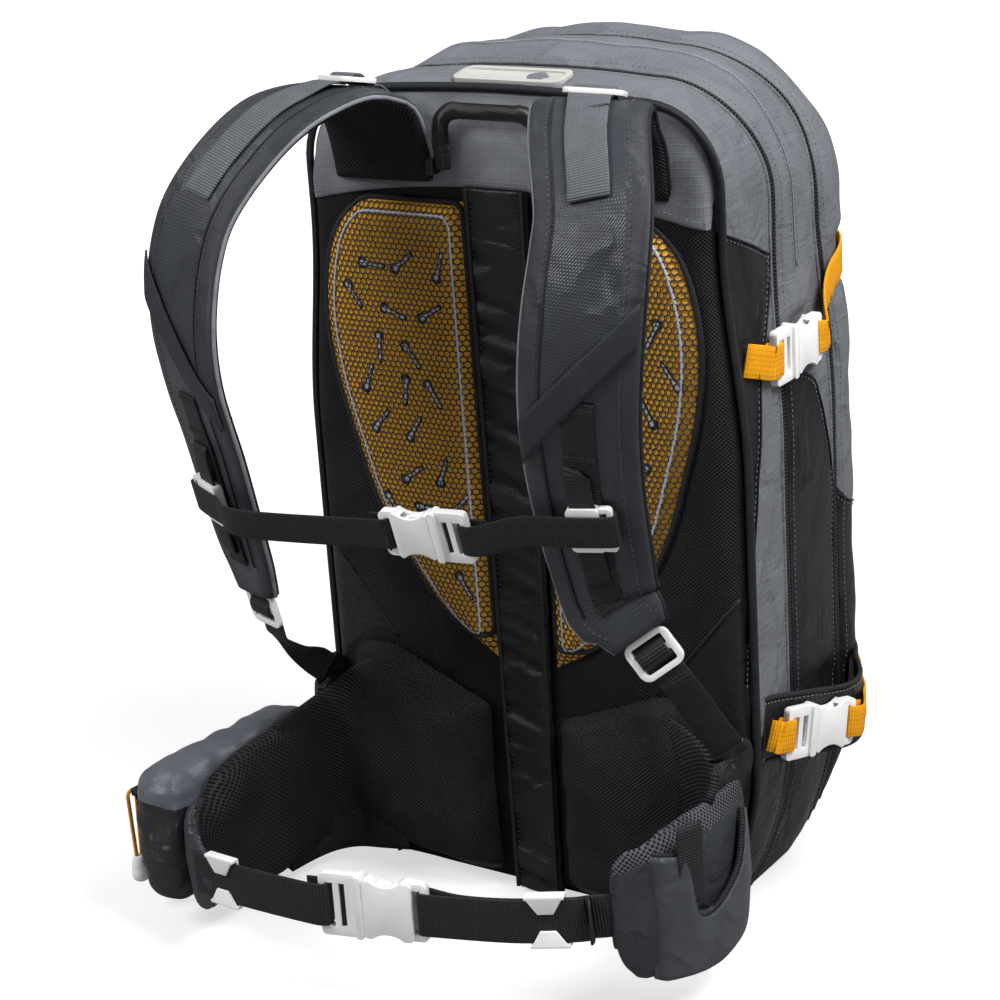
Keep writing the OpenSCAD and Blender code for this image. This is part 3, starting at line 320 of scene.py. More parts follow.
def sheet(name, grid, finishes, thick=1.6):
    """A cloth sheet with thickness on its inner side, from a grid whose rows run along it."""
    rows, columns = grid.shape[:2]
    faces, corners = grid_faces(rows, columns)
    u, v = far_along(grid[rows // 2]), far_along(grid[:, columns // 2])
    obj = mesh_object(name, grid, faces, grid_uv(corners, u, v), finishes)
    solid = obj.modifiers.new("thickness", "SOLIDIFY")
    solid.thickness, solid.offset = thick * MM, -1
    return bake(obj)


def loft(name, rings, finishes, pick=None, closed_ends=True):
    """A skin over rings of points. pick gives each side of a ring its material."""
    rings = np.asarray(rings, float)
    count, sides = rings.shape[:2]
    pick = pick or [0] * sides
    faces, corners = grid_faces(count, sides, wrap=True)
    middle, mid = rings.mean(axis=1), rings[count // 2]
    u, v = far_along(np.vstack([mid, mid[:1]])), far_along(middle)
    uv = list(grid_uv(corners, u, v))
    faces = [list(f) for f in faces]
    index = [pick[c] for c in corners[:, 0, 1]]
    verts = rings.reshape(-1, 3)
    if closed_ends:
        base = count * sides
        verts = np.vstack([verts, middle[:1], middle[-1:]])
        for k in range(sides):
            n = (k + 1) % sides
            faces += [[base, n, k], [base + 1, (count - 1) * sides + k, (count - 1) * sides + n]]
            uv.extend([[u[k], v[0]]] * 6)
            index += [pick[k]] * 2
    return outward(mesh_object(name, verts, faces, uv, finishes, index))


def tube(name, path, radius, finishes, sides=8, squash=1.0, up=(0, 0, 1), closed=False):
    """A round cord along a path. radius may change along it, and squash flattens it along up."""
    run = tangents(path) if not closed else unit(np.roll(path, -1, 0) - np.roll(path, 1, 0))
    side = np.empty_like(path)
    lead = square_to(np.cross(run[0], up) if abs(np.dot(run[0], up)) < 0.95 else (1, 0, 0), run[0])
    for k in range(len(path)):
        lead = square_to(lead, run[k])
        side[k] = lead
    lift = np.cross(side, run)
    a = np.linspace(0, TAU, sides, endpoint=False)
    r = np.broadcast_to(radius, len(path))[:, None, None]
    rings = path[:, None] + r * (np.cos(a)[None, :, None] * side[:, None]
                                 + squash * np.sin(a)[None, :, None] * lift[:, None])
    if closed:
        rings = np.vstack([rings, rings[:1]])
    return loft(name, rings, finishes, closed_ends=not closed)


def polyline(name, lines):
    """A mesh of edges for a row of copies, from pairs of a path and the way that is up along it."""
    verts, edges, ups = [], [], []
    for path, up in lines:
        first = len(verts)
        verts.extend(path * MM)
        edges.extend([first + i, first + i + 1] for i in range(len(path) - 1))
        ups.extend(np.broadcast_to(np.asarray(up, float), (len(path), 3)))
    mesh = bpy.data.meshes.new(name)
    mesh.from_pydata(np.asarray(verts).tolist(), edges, [])
    mesh.attributes.new("up", "FLOAT_VECTOR", "POINT").data.foreach_set("vector", np.asarray(ups).ravel())
    return put(name, mesh)


def node_points(node):
    """A CAD node's points in millimetres, without doubles, and its triangles."""
    obj = frame["nodes"][node]
    points, where = np.unique(np.round(coords(obj) / MM, 3), axis=0, return_inverse=True)
    obj.data.calc_loop_triangles()
    tris = np.empty(len(obj.data.loop_triangles) * 3, np.int32)
    obj.data.loop_triangles.foreach_get("vertices", tris)
    return points, where.ravel()[tris].reshape(-1, 3)


# A webbing's end: its short edges are under the first length, its long ones over the second
WEB_THIN, WEB_WIDE = 4, 8


def node_rings(node):
    """The rings of points that each lofted solid of a CAD node was drawn through."""
    points, tris = node_points(node)
    near = [set() for _ in points]
    for a, b, c in tris:
        near[a] |= {b, c}
        near[b] |= {a, c}
        near[c] |= {a, b}

    def walk_round(ring):
        ring = np.array(sorted(ring))
        flat = points[ring] - points[ring].mean(axis=0)
        axes = np.linalg.svd(flat, full_matrices=False)[2]
        return list(ring[np.argsort(np.arctan2(flat @ axes[1], flat @ axes[0]))])

    def end_ring(start):
        """The four corners of a flat end, told by its edges and by how far the solid reaches from it."""
        best = (0.0, None)
        edge = {k: np.linalg.norm(points[k] - points[start]) for k in near[start]}
        for a in near[start]:
            for b in near[start]:
                if edge[a] < WEB_THIN and edge[b] > WEB_WIDE:
                    fourth = np.linalg.norm(points - (points[a] + points[b] - points[start]), axis=1)
                    plane = unit(np.cross(points[a] - points[start], points[b] - points[start]))
                    reach = np.abs((points[sorted(near_all(start))] - points[start]) @ plane).max()
                    if fourth.min() < 0.05 and reach > best[0]:
                        best = (reach, {start, a, b, int(fourth.argmin())})
        return best[1]

    def near_all(start):
        found, stack = {start}, [start]
        while stack:
            fresh = near[stack.pop()] - found
            found |= fresh
            stack.extend(fresh)
        return found

    seen, lofts = set(), []
    middles = [k for k, ring in enumerate(near)
               if np.linalg.norm(points[list(ring)].mean(axis=0) - points[k]) < 0.02]
    for start in middles + list(range(len(points))):
        if start in seen:
            continue
        ring = near[start]
        if start not in middles:
            solid = np.array(sorted(near_all(start)))
            start = int(solid[np.linalg.norm(points[solid] - points[solid].mean(axis=0), axis=1).argmax()])
            ring = end_ring(start)
        rings, seen = [walk_round(ring)], seen | {start} | ring
        while True:
            coming = set().union(*(near[v] for v in rings[-1])) - seen
            if len(coming) < 2:
                seen |= coming
                break
            walk, here = walk_round(coming), points[rings[-1]]
            turned = [np.roll(way, k) for way in (walk, walk[::-1]) for k in range(len(walk))]
            rings.append(list(min(turned, key=lambda w: np.linalg.norm(points[w] - here, axis=1).sum())))
            seen |= coming
        lofts.append(points[np.array(rings)])
    return lofts


class Spine:
    """The run of a lofted CAD solid: its middle line, which way it is wide, and its half sizes."""

    def __init__(self, rings, wide=(1, 0, 0), start=None):
        if start is not None and (np.linalg.norm(rings[0].mean(0) - start)
                                  > np.linalg.norm(rings[-1].mean(0) - start)):
            rings = rings[::-1]
        self.middle = rings.mean(axis=1)
        sides = rings.shape[1]
        if sides == 4:
            edge = rings[:, 1] - rings[:, 0], rings[:, 2] - rings[:, 1]
            size = [np.linalg.norm(e, axis=1) for e in edge]
            k = int(size[1].mean() > size[0].mean())
            across, self.half, self.thick = edge[k], size[k] / 2, size[1 - k] / 2
        else:
            reach = np.linalg.norm(rings - self.middle[:, None], axis=2).mean(axis=0)
            k = int(reach.argmax())
            across = rings[:, k] - rings[:, (k + sides // 2) % sides]
            self.half = np.linalg.norm(across, axis=1) / 2
        across = unit(across)
        if np.dot(across.mean(axis=0), wide) < 0:
            across = -across
        for k in range(1, len(across)):
            if np.dot(across[k], across[k - 1]) < -0.3:
                across[k] = -across[k]
        self.across = across
        if sides != 4:
            out = np.cross(tangents(self.middle), self.across)
            self.thick = np.abs(np.einsum("rsk,rk->rs", rings - self.middle[:, None], out)).max(axis=1)
        self.last = len(self.middle) - 1

    def at(self, s):
        """Middle, run, across, out, half width and half thickness at places s."""
        middle = curve(self.middle, s)
        run = unit(curve(self.middle, np.asarray(s) + 0.02) - curve(self.middle, np.asarray(s) - 0.02))
        across = square_to(curve(self.across, s), run)
        sizes = curve(np.stack([self.half, self.thick], axis=1), s)
        return middle, run, across, np.cross(run, across), sizes[:, 0], sizes[:, 1]

    def places(self, step):
        """Places s at even steps along the run."""
        fine = np.linspace(0, self.last, 40 * self.last + 1)
        far = far_along(curve(self.middle, fine))
        return np.interp(np.linspace(0, far[-1], max(int(far[-1] / step), 2) + 1), far, fine)

    def on_face(self, s, w, up=0.0):
        """Points on the padded face at share w of the half width, and the way out there."""
        s, w = np.broadcast_arrays(s, w)
        middle, _, across, out, half, thick = self.at(s)
        rise = thick * (1 - np.minimum(np.abs(w), 1) ** 4.0) ** (1 / 4.0)
        return middle + across * (half * w)[:, None] + out * (rise + up)[:, None], out


# ---- the bag's form

BASE_FRONT, BASE_SLOPE = 30, 1.6
BELLY_Z, WAIST_Z, SHOULDER_Z = 130, 300, 440
CORNER_BACK, CORNER_FRONT = 45, 95
FRONT_PINCH, TOP_CROWN, FRONT_CROWN = 7, 4, 5
FRONT_TURN = math.radians(85)
# The cloth lies pressed in within this reach of a compression strap, and stands free again past the fade
PRESS_REACH, PRESS_FADE, PRESS_DEPTH = 22, 9, -0.7
TAPE_DEPTH, FOOT_FADE = -1.6, 0.035
# How far the zips swing from their straight lines, by the share of the way up the arch
MAIN_SWING = [(0, 0), (.45, 0), (.55, 2), (.62, 6), (.68, 10), (.72, 11), (.76, 5), (.80, -4), (.84, -8), (1, -11)]
FRONT_SWING = [(0, 0), (.5, 0), (.6, -4), (.68, -9), (.73, -6), (.78, 1), (.83, -6), (.87, -14), (1, -18)]


def strap_course(level, hand):
    """Where a compression strap and its released buckle lie on the bag's side, as y and z."""
    spine = Spine(node_rings(f"compression_webbing_{level}_{hand}")[0], UP)
    web = spine.at(spine.places(4.0))[0][:, 1:]
    low, high = box(f"compression_female_{level}_{hand}")
    y = np.arange(low[1], high[1] + 24, 4.0)
    return np.vstack([web, np.stack([y, np.full_like(y, (low[2] + high[2]) / 2)], axis=1)])


class Bag:
    """The bag's outside: an arch for each depth y, run through by t from -1 at the left foot to 1 at the right."""

    def __init__(self):
        self.back, self.front_zip, self.main_zip = -mm("back_depth"), mm("front_zip"), -mm("main_zip")
        self.round, self.tape = mm("front_round"), mm("zip_width")
        self.round_from = self.front_zip + self.tape / 2
        self.front = self.round_from + self.round
        self.seam = self.front - self.round * (1 - math.sin(FRONT_TURN))
        self.pressed = {side: np.vstack([strap_course(level, hand) for level in ("upper", "lower")])
                        for side, hand in SIDES}

    def press(self, points):
        """1 under the compression straps and their buckles' ways, 0 away from them."""
        near = np.full(points.shape[:-1], 1e3)
        for side, course in self.pressed.items():
            away = np.linalg.norm(points[..., None, 1:] - course, axis=-1).min(axis=-1)
            near = np.where(points[..., 0] * side > 60, away, near)
        return ease((PRESS_REACH - near) / PRESS_FADE)

    def share(self, y):
        return np.clip((y - self.back) / (self.front_zip - self.back), 0, 1)

    def half_width(self, z, y):
        belly = mm("belly_half") - FRONT_PINCH * self.share(y)
        low = belly - (belly - mm("base_half")) * (1 - np.minimum(z, BELLY_Z) / BELLY_Z) ** 2
        high = belly - (belly - mm("yoke_half")) * ease((z - WAIST_Z) / (SHOULDER_Z - WAIST_Z))
        return np.where(z < BELLY_Z, low, high)

    def floor(self, y):
        return np.maximum(0, (y - BASE_FRONT) * BASE_SLOPE)

    def sizes(self, y):
        share = self.share(y)
        top = mm("panel_top") + (mm("bag_top") - mm("panel_top")) * np.sin(share * math.pi / 2)
        corner = CORNER_BACK + (CORNER_FRONT - CORNER_BACK) * share
        d = np.clip((y - self.round_from) / self.round, 0, 1)
        inset = self.round * (1 - np.sqrt(1 - d * d))
        centre_z = top - corner
        centre_x = self.half_width(centre_z, y) - corner
        legs = centre_z - self.floor(y), corner * math.pi / 2, centre_x
        return top, corner, inset, centre_x, centre_z, legs

    def point(self, y, t):
        """Point and outward way of the plain form at depth y and run t."""
        y, t = np.broadcast_arrays(y, t)
        top, corner, inset, cx, cz, legs = self.sizes(y)
        u = (1 - np.abs(t)) * sum(legs)
        z = self.floor(y) + u
        angle = np.clip((u - legs[0]) / corner, 0, math.pi / 2)
        x_top = cx - (u - legs[0] - legs[1])
        on_side, on_top = u < legs[0], u > legs[0] + legs[1]
        x = np.where(on_side, self.half_width(z, y) - inset,
                     np.where(on_top, x_top, cx + (corner - inset) * np.cos(angle)))
        z = np.where(on_side, z, np.where(on_top, top - inset + TOP_CROWN * (1 - (x_top / cx) ** 2),
                                          cz + (corner - inset) * np.sin(angle)))
        side = np.where(t < 0, -1.0, 1.0)
        lean = np.clip((y - self.round_from) / self.round, 0, 1)
        return xyz(x * side, y, z), unit(xyz(np.cos(angle) * side, lean * 1.2, np.sin(angle)))

    def run(self, y, z, side=1):
        """The run t of a height z on a side at depth y."""
        return side * (1 - (z - self.floor(y)) / sum(self.sizes(y)[5]))

    def zip_lines(self, t):
        up = 1 - np.abs(t)
        return self.main_zip + knots(MAIN_SWING, up), self.front_zip + knots(FRONT_SWING, up)

    def slab_edges(self, t):
        main, front = self.zip_lines(t)
        half = self.tape / 2 - 1.8
        flat = np.zeros_like(main)
        return [flat + self.back, main - half, main + half, front - half, front + half, flat + self.seam]

    def lift(self, y, t):
        """How far the stuffed cloth stands off the plain form."""
        y, t = np.broadcast_arrays(y, t)
        edges = self.slab_edges(t)
        total = np.full(y.shape, TAPE_DEPTH)
        plain, _ = self.point(y, t)
        soft = ripple(plain, 46, 3.1, (1, 1.5, 1)) * 2.0 + ripple(plain, 19, 8.7, (1, 0.8, 1)) * 0.8
        for k in (0, 2, 4):
            v = (y - edges[k]) / (edges[k + 1] - edges[k])
            inside = (v >= 0) & (v <= 1)
            bow = np.sin(np.clip(v, 0, 1) * math.pi)
            full = mm("slab_puff") * (0.75 if k else 0.62)
            total = np.where(inside, full * bow ** 0.55 - 0.8 + soft * bow ** 0.5, total)
        press = self.press(plain)
        total = total * (1 - press) + np.minimum(total, PRESS_DEPTH) * press
        return total * ease((1 - np.abs(t)) / FOOT_FADE)

    def skin(self, y, t, up=0.0):
        """Points on the stuffed cloth, raised by up, and the way out there."""
        plain, out = self.point(y, t)
        return plain + out * (self.lift(y, t) + up)[..., None], out


# Where black cloth begins on a side, as height and depth: behind the main zip, and across the other slabs
BLACK_BACK = [(418, -25), (398, -30), (378, -43), (352, -57), (332, -62), (284, -72), (224, -79), (171, -84), (0, -86)]
BLACK_BAND = [(349, -21), (336, 8), (321, 17), (296, 28), (258, 43), (240, 60), (226, 100)]
BLACK_BASE = 138


# ---- node tools

def feed(tree, node, values):
    """Fills a node's inputs; a socket or a Value is linked."""
    for key, value in values.items():
        value = getattr(value, "socket", value)
        if isinstance(value, bpy.types.NodeSocket):
            tree.links.new(value, node.inputs[key])
        else:
            node.inputs[key].default_value = value


def add(tree, kind, values=None, **settings):
    """A node with its settings and inputs."""
    made = tree.nodes.new(kind)
    for key, value in settings.items():
        setattr(made, key, value)
    feed(tree, made, values or {})
    return made


class Value:
    """A shader value. Sums on it are written as sums and stand in the tree as nodes."""

    def __init__(self, tree, socket):
        self.tree, self.socket = tree, socket

    def node(self, kind, values, output=0, **settings):
        return Value(self.tree, add(self.tree, kind, values, **settings).outputs[output])

    def calc(self, operation, *others, clamp=False):
        return self.node("ShaderNodeMath", dict(enumerate((self, *others))), operation=operation, use_clamp=clamp)

    __add__ = functools.partialmethod(calc, "ADD")
    __sub__ = functools.partialmethod(calc, "SUBTRACT")
    __mul__ = functools.partialmethod(calc, "MULTIPLY")
    __truediv__ = functools.partialmethod(calc, "DIVIDE")
    scaled = functools.partialmethod(calc, "MULTIPLY_ADD")

    def under(self, top, operation, clamp=False):
        """A sum whose first number is the plain number top."""
        return self.node("ShaderNodeMath", {0: top, 1: self}, operation=operation, use_clamp=clamp)

    def split(self):
        parts = add(self.tree, "ShaderNodeSeparateXYZ", {0: self}).outputs
        return [Value(self.tree, part) for part in parts[:2]]

    def ramp(self, low, high):
        """0 below low and 1 above high, smooth between."""
        return self.node("ShaderNodeMapRange", {"Value": self, "From Min": low, "From Max": high},
                         interpolation_type="SMOOTHSTEP")

    def wave(self, step):
        """A smooth wave from 0 to 1 that repeats each step."""
        return ((self / step) * TAU).calc("SINE").scaled(0.5, 0.5)

    def mix(self, a, b):
        """From colour a to colour b by this share."""
        return self.node("ShaderNodeMix", {0: self, 6: a, 7: b}, 2, data_type="RGBA")

    def noise(self, scale, detail, **more):
        return self.node("ShaderNodeTexNoise", {"Vector": self, "Scale": scale, "Detail": detail, **more})


def new_tree(name, kind, inputs):
    """An empty node group with named inputs, each (name, socket kind, default)."""
    tree = bpy.data.node_groups.new(name, kind + "NodeTree")
    for label, socket_kind, default in inputs:
        socket = tree.interface.new_socket(name=label, in_out="INPUT", socket_type="NodeSocket" + socket_kind)
        if default is not None:
            socket.default_value = default
    return tree, tree.nodes.new("NodeGroupInput"), tree.nodes.new("NodeGroupOutput")


# ---- shared shader groups

def staggered_holes(at, across, along, size):
    u, v = at.split()
    u, v = u / across, v / along
    near = []
    for shift in (0.0, 0.5):
        du, dv = ((way + shift).calc("FRACT") - 0.5 for way in (u, v))
        near.append((du * du + dv * dv).calc("SQRT"))
    edge = near[0].calc("MINIMUM", near[1]) - size
    return {"Hole": edge.ramp(0.07, -0.07), "Height": edge.ramp(-0.12, 0.16)}


def ripstop_weave(at, thread, square):
    u, v = at.split()
    plain = u.wave(thread) * v.wave(thread)
    lines = [((way / square).calc("FRACT") - 0.5).calc("ABSOLUTE").ramp(0.08, 0.03) for way in (u, v)]
    line = lines[0].calc("MAXIMUM", lines[1])
    return {"Height": line.scaled(0.7, plain * 0.35), "Line": line}


def twill_lines(at, step):
    u, v = at.split()
    slant = u + v * 0.8
    return {"Height": slant.wave(step).scaled(0.7, v.wave(step).scaled(0.3, 0.0))}


def webbing_ribs(at, rib):
    u, v = at.split()
    ribs, cords = v.wave(rib), u.wave(rib * 1.7)
    return {"Height": ribs.scaled(0.75, cords * 0.25), "Groove": ribs.ramp(0.35, 0.0)}


def soft_creases(at, size, stretch):
    drawn = at.node("ShaderNodeVectorMath", {0: at, 1: stretch}, operation="MULTIPLY")
    big = drawn.noise(size.under(1.0, "DIVIDE"), 2.0, Distortion=0.7)
    ridge = big.scaled(4.0, -2.0).calc("ABSOLUTE").under(1.0, "SUBTRACT", clamp=True)
    # The second output is painted shade: darker in the hollows of the creases, lighter on their crests
    return {"Height": ridge.scaled(0.5, big), "Tone": big.ramp(0.3, 0.7)}


def handling_wear(at, size):
    scale = size.under(1.0, "DIVIDE")
    return {"Wear": at.noise(scale, 4.0).ramp(0.42, 0.72), "Grain": at.noise(scale * 22.0, 1.0)}


GROUPS = {
    "holes": ("Staggered holes", staggered_holes, {"Across": 0.004, "Along": 0.004, "Size": 0.3}),
    "ripstop": ("Ripstop weave", ripstop_weave, {"Thread": 0.0007, "Square": 0.006}),
    "twill": ("Twill lines", twill_lines, {"Step": 0.0012}),
    "ribs": ("Webbing ribs", webbing_ribs, {"Rib": 0.0017}),
    "creases": ("Soft creases", soft_creases, {"Size": 0.03, "Stretch": (1.0, 1.0, 1.0)}),
    "wear": ("Handling wear", handling_wear, {"Size": 0.01}),
}


@functools.cache
def shared_group(which):
    """A shader group that several finishes use, made once."""
    name, make, defaults = GROUPS[which]
    inputs = [("Vector", "Vector", None)]
    inputs += [(key, "Vector" if isinstance(value, tuple) else "Float", value) for key, value in defaults.items()]
    tree, given, out = new_tree(name, "Shader", inputs)
    results = make(*(Value(tree, given.outputs[label]) for label, _, _ in inputs))
    for key, value in results.items():
        tree.interface.new_socket(name=key, in_out="OUTPUT", socket_type="NodeSocketFloat")
        tree.links.new(value.socket, out.inputs[key])
    return tree


# ---- finishes

def shade(base, factor):
    return (*[min(c * factor, 1.0) for c in base[:3]], 1.0)


class Finish:
    """A material in the making. Patterns are read along the cloth's flow or at a place in space."""

    def __init__(self, name, flow=True):
        self.mat = bpy.data.materials.new(name)
        self.mat.use_nodes = True
        self.tree = self.mat.node_tree
        self.shader = self.tree.nodes["Principled BSDF"]
        self.place = Value(self.tree, add(self.tree, "ShaderNodeTexCoord").outputs["Object"])
        if flow:
            self.flow = Value(self.tree, add(self.tree, "ShaderNodeUVMap", uv_map="flow").outputs[0])

    def use(self, which, at, **values):
        """The values that a shared group gives at the places at."""
        made = add(self.tree, "ShaderNodeGroup", {"Vector": at, **values}, node_tree=shared_group(which))
        return [Value(self.tree, socket) for socket in made.outputs]

    def done(self, tint, rough, *heights, gloss=0.5, **settings):
        """Sets colour, roughness and other inputs, and chains heights, each with its depth in millimetres."""
        last = {}
        for height, depth in heights:
            made = add(self.tree, "ShaderNodeBump", {"Height": height, "Distance": depth * MM, "Strength": 1.0, **last})
            last = {"Normal": made.outputs[0]}
        feed(self.tree, self.shader, {"Base Color": tint, "Roughness": rough, "Specular IOR Level": gloss,
                                      **last, **settings})
        return self.mat


def bag_cloth(name, grey):
    """Grey ripstop and black satin in one cloth, told apart by the black attribute."""
    m = Finish(name)
    mark = add(m.tree, "ShaderNodeAttribute", attribute_name="black").outputs["Fac"]
    black, dark = Value(m.tree, mark).ramp(-0.5, 0.5), rgb("black_cloth")
    weave, line = m.use("ripstop", m.flow, Thread=0.0009, Square=0.0040)
    twill, = m.use("twill", m.flow, Step=0.0011)
    crease, crease_shade = m.use("creases", m.place, Size=0.034, Stretch=(1.0, 1.3, 0.8))
    fine, _ = m.use("creases", m.place, Size=0.012, Stretch=(1.0, 0.7, 1.2))
    # Grey and black are tinted by the creases: painted shade in the hollows, painted highlight on the crests
    lined = line.mix(crease_shade.mix(shade(grey, 0.86), shade(grey, 1.1)), shade(grey, 1.22))
    inky = crease_shade.mix(shade(dark, 0.75), shade(dark, 1.7))
    thread = black.node("ShaderNodeMix", {0: black, 2: weave, 3: twill})
    return m.done(black.mix(lined, inky), crease_shade.scaled(0.12, 0.50) - black * 0.14,
                  (crease, 2.3), (fine, 0.7), (thread, 0.16), gloss=0.28)


def cloth(name, base, rough=0.55, weave="twill", step=0.0011, crease=0.03, deep=1.2, gloss=0.25, stretch=(1, 1, 1),
          lines=1.9):
    """A woven cloth with creases."""
    m = Finish(name)
    if weave == "twill":
        thread, = m.use("twill", m.flow, Step=step)
    else:
        thread, _ = m.use("ripstop", m.flow, Thread=step, Square=step * 6)
    fold, crease_shade = m.use("creases", m.place, Size=crease, Stretch=stretch)
    wear, _ = m.use("wear", m.place, Size=0.02)
    # The cloth is tinted by the creases: painted shade in the hollows, painted highlight on the crests
    lined = (thread * 0.5).mix(crease_shade.mix(shade(base, 0.8), shade(base, 1.2)), shade(base, lines))
    return m.done((wear * 0.3).mix(lined, shade(base, 1.6)), wear.scaled(0.14, rough - 0.05),
                  (fold, deep), (thread, 0.2), gloss=gloss)


def spacer(name, base, across=0.0027, along=0.0024, size=0.27, lighter=2.9, depth=0.5):
    """Padded mesh: a knitted face with dark holes, large and fine, their darkness painted shade."""
    m = Finish(name)
    hole, height = m.use("holes", m.flow, Across=across, Along=along, Size=size)
    fold, crease_shade = m.use("creases", m.place, Size=0.05)
    fine, _ = m.use("holes", m.flow, Across=across / 3, Along=along / 3, Size=0.2)
    # The mesh face is tinted by the creases: painted shade in the hollows, painted highlight on the crests
    face = (fine * 0.6).mix(crease_shade.mix(shade(base, lighter * 0.6), shade(base, lighter)), shade(base, 0.9))
    return m.done(hole.mix(face, shade(base, 0.3)), hole.scaled(0.2, 0.62), (fold, 1.0), (height, depth),
                  gloss=0.12)


def webbing(name, base, rib=0.0019, contrast=0.55):
    """Ribbed narrow webbing, its grooves between the ribs painted darker as painted shade."""
    m = Finish(name)
    height, groove = m.use("ribs", m.flow, Rib=rib)
    wear, grain = m.use("wear", m.place, Size=0.012)
    worn = (wear * 0.35).mix(base, shade(base, 1.5))
    return m.done(groove.mix(worn, shade(base, contrast)), groove.scaled(0.2, 0.5), (grain, 0.12), (height, 0.42),
                  gloss=0.22)


def plastic(name, base, rough=0.34):
    """Moulded plastic with a faint grain and handling marks."""
    m = Finish(name, False)
    wear, grain = m.use("wear", m.place, Size=0.009)
    return m.done((wear * 0.35).mix(base, shade(base, 0.86)), wear.scaled(0.14, rough), (grain, 0.05))


def metal(name, base, rough=0.38):
    m = Finish(name, False)
    wear, grain = m.use("wear", m.place, Size=0.006)
    return m.done(wear.mix(base, shade(base, 1.5)), grain.scaled(0.2, rough - 0.1), (grain, 0.04), Metallic=0.9)


def foam(name, base):
    """Fine-pored foam, its pores painted darker as painted shade."""
    m = Finish(name, False)
    pores = m.place.node("ShaderNodeTexVoronoi", {"Vector": m.place, "Scale": 900.0}, "Distance")
    wear, _ = m.use("wear", m.place, Size=0.03)
    toned = wear.mix(base, shade(base, 0.86))
    return m.done((pores.ramp(0.35, 0.1) * 0.4).mix(toned, shade(base, 0.55)), 0.85, (pores, 0.3))


def braid(name, base):
    """Braided cord: two slanting sets of strands."""
    m = Finish(name)
    u, v = m.flow.split()
    strand = (u + v).wave(0.0011).calc("MAXIMUM", (u - v).wave(0.0011))
    wear, _ = m.use("wear", m.place, Size=0.01)
    worn = (wear * 0.3).mix(base, shade(base, 0.75))
    # The gaps between the strands are painted darker: painted shade
    return m.done(strand.ramp(0.7, 0.3).mix(worn, shade(base, 0.45)), 0.55, (strand, 0.3))


# Each finish: its maker, its colour or the panel's name for it, a factor on that colour, and the maker's settings
FINISHES = {
    "bag_cloth": (bag_cloth, "grey_cloth", 1, {}),
    "black_satin": (cloth, "black_cloth", 1, dict(rough=0.36, crease=0.026, deep=2.0, gloss=0.35)),
    # The grey ripstop is the bag's grey cloth painted 1.2 times lighter: painted light on the yoke, which takes less
    # lamp light
    "grey_ripstop": (cloth, "grey_cloth", 1.2, dict(weave="ripstop", step=0.0007, crease=0.04, deep=1.4, lines=1.2)),
    # The slate twill's thread lines are painted eight times lighter than its ground: painted sheen on the satin threads
    "slate_twill": (cloth, "slate_twill", 0.31, dict(rough=0.36, step=0.0018, crease=0.05, deep=3.0, gloss=0.3,
                                                     lines=8.0)),
    "strap_band": (cloth, "slate_twill", 0.58, dict(rough=0.45, step=0.001, deep=1.8, gloss=0.35)),
    "wing_cloth": (cloth, "slate_twill", 0.55, dict(rough=0.42, step=0.0016, crease=0.022, deep=2.0)),
    # A 1.75 times lighter copy of the slate twill: painted light on the pocket's lit top
    "pocket_twill": (cloth, "slate_twill", 1.75, dict(rough=0.36, step=0.0016, crease=0.026, deep=1.6, gloss=0.6,
                                                      stretch=(1, 0.35, 1.6), lines=1.4)),
    "holster_twill": (cloth, "slate_twill", 0.85, dict(rough=0.38, crease=0.03, deep=2.2, gloss=0.45)),
    "sleeve_satin": (cloth, "black_cloth", 0.45, dict(rough=0.26, crease=0.03, deep=2.0, gloss=0.45,
                                                      stretch=(0.5, 1, 1.3))),
    "piping": (cloth, "black_cloth", 1.4, dict(rough=0.45, step=0.0009, crease=0.012, deep=0.4)),
    "pale_piping": (cloth, (0.20, 0.21, 0.23), 1, dict(step=0.0009, crease=0.012, deep=0.3)),
    "strap_lining": (spacer, "spacer", 1, {}),
    "spacer_mesh": (spacer, "spacer", 1, {}),
    "wing_mesh": (spacer, "spacer", 1, dict(across=0.0036, along=0.0032, size=0.25, lighter=2.1, depth=0.3)),
    "rim_mesh": (spacer, "spacer", 2.4, dict(across=0.0030, along=0.0028, size=0.25, lighter=3.2)),
    "strip_webbing": (webbing, "slate_twill", 0.85, dict(rib=0.0017)),
    "black_webbing": (webbing, "black_web", 1, {}),
    "grey_webbing": (webbing, "grey_web", 1, dict(rib=0.0017)),
    "orange_webbing": (webbing, "orange", 1, dict(rib=0.0017, contrast=0.72)),
    "zip_tape": (webbing, (0.012, 0.012, 0.013), 1, dict(rib=0.0012)),
    "orange_foam": (foam, "foam", 1, {}),
    "orange_cord": (braid, "orange", 1, {}),
    "zip_metal": (metal, (0.05, 0.05, 0.055), 1, {}),
    "stay_aluminium": (metal, (0.6, 0.61, 0.62), 1, dict(rough=0.35)),
    "white_plastic": (plastic, "white", 1, {}),
    "plate_plastic": (plastic, "plate", 1, dict(rough=0.5)),
}
# Plain plastics and threads: colour and roughness
PLAIN = {
    "frame_plastic": ((0.05, 0.05, 0.052), 0.5),
    "black_plastic": ((0.014, 0.014, 0.015), 0.42),
    "net": ((0.022, 0.022, 0.026), 0.5),
    "slit": ((0.02, 0.022, 0.03), 0.6),
    "slit_pale": ((0.50, 0.53, 0.60), 0.45),
    "lining_plain": ((0.09, 0.095, 0.10), 0.7),
    "black_thread": ((0.03, 0.03, 0.033), 0.55),
    "grey_thread": ((0.22, 0.23, 0.25), 0.55),
    "slate_thread": ((0.085, 0.09, 0.10), 0.55),
}
FINISHES.update({name: (plastic, base, 1, {"rough": rough}) for name, (base, rough) in PLAIN.items()})


@functools.cache
def material(name):
    """A finish by its name, made once."""
    make, base, factor, settings = FINISHES[name]
    return make(name, shade(rgb(base) if isinstance(base, str) else base, factor), **settings)


# ---- geometry trees

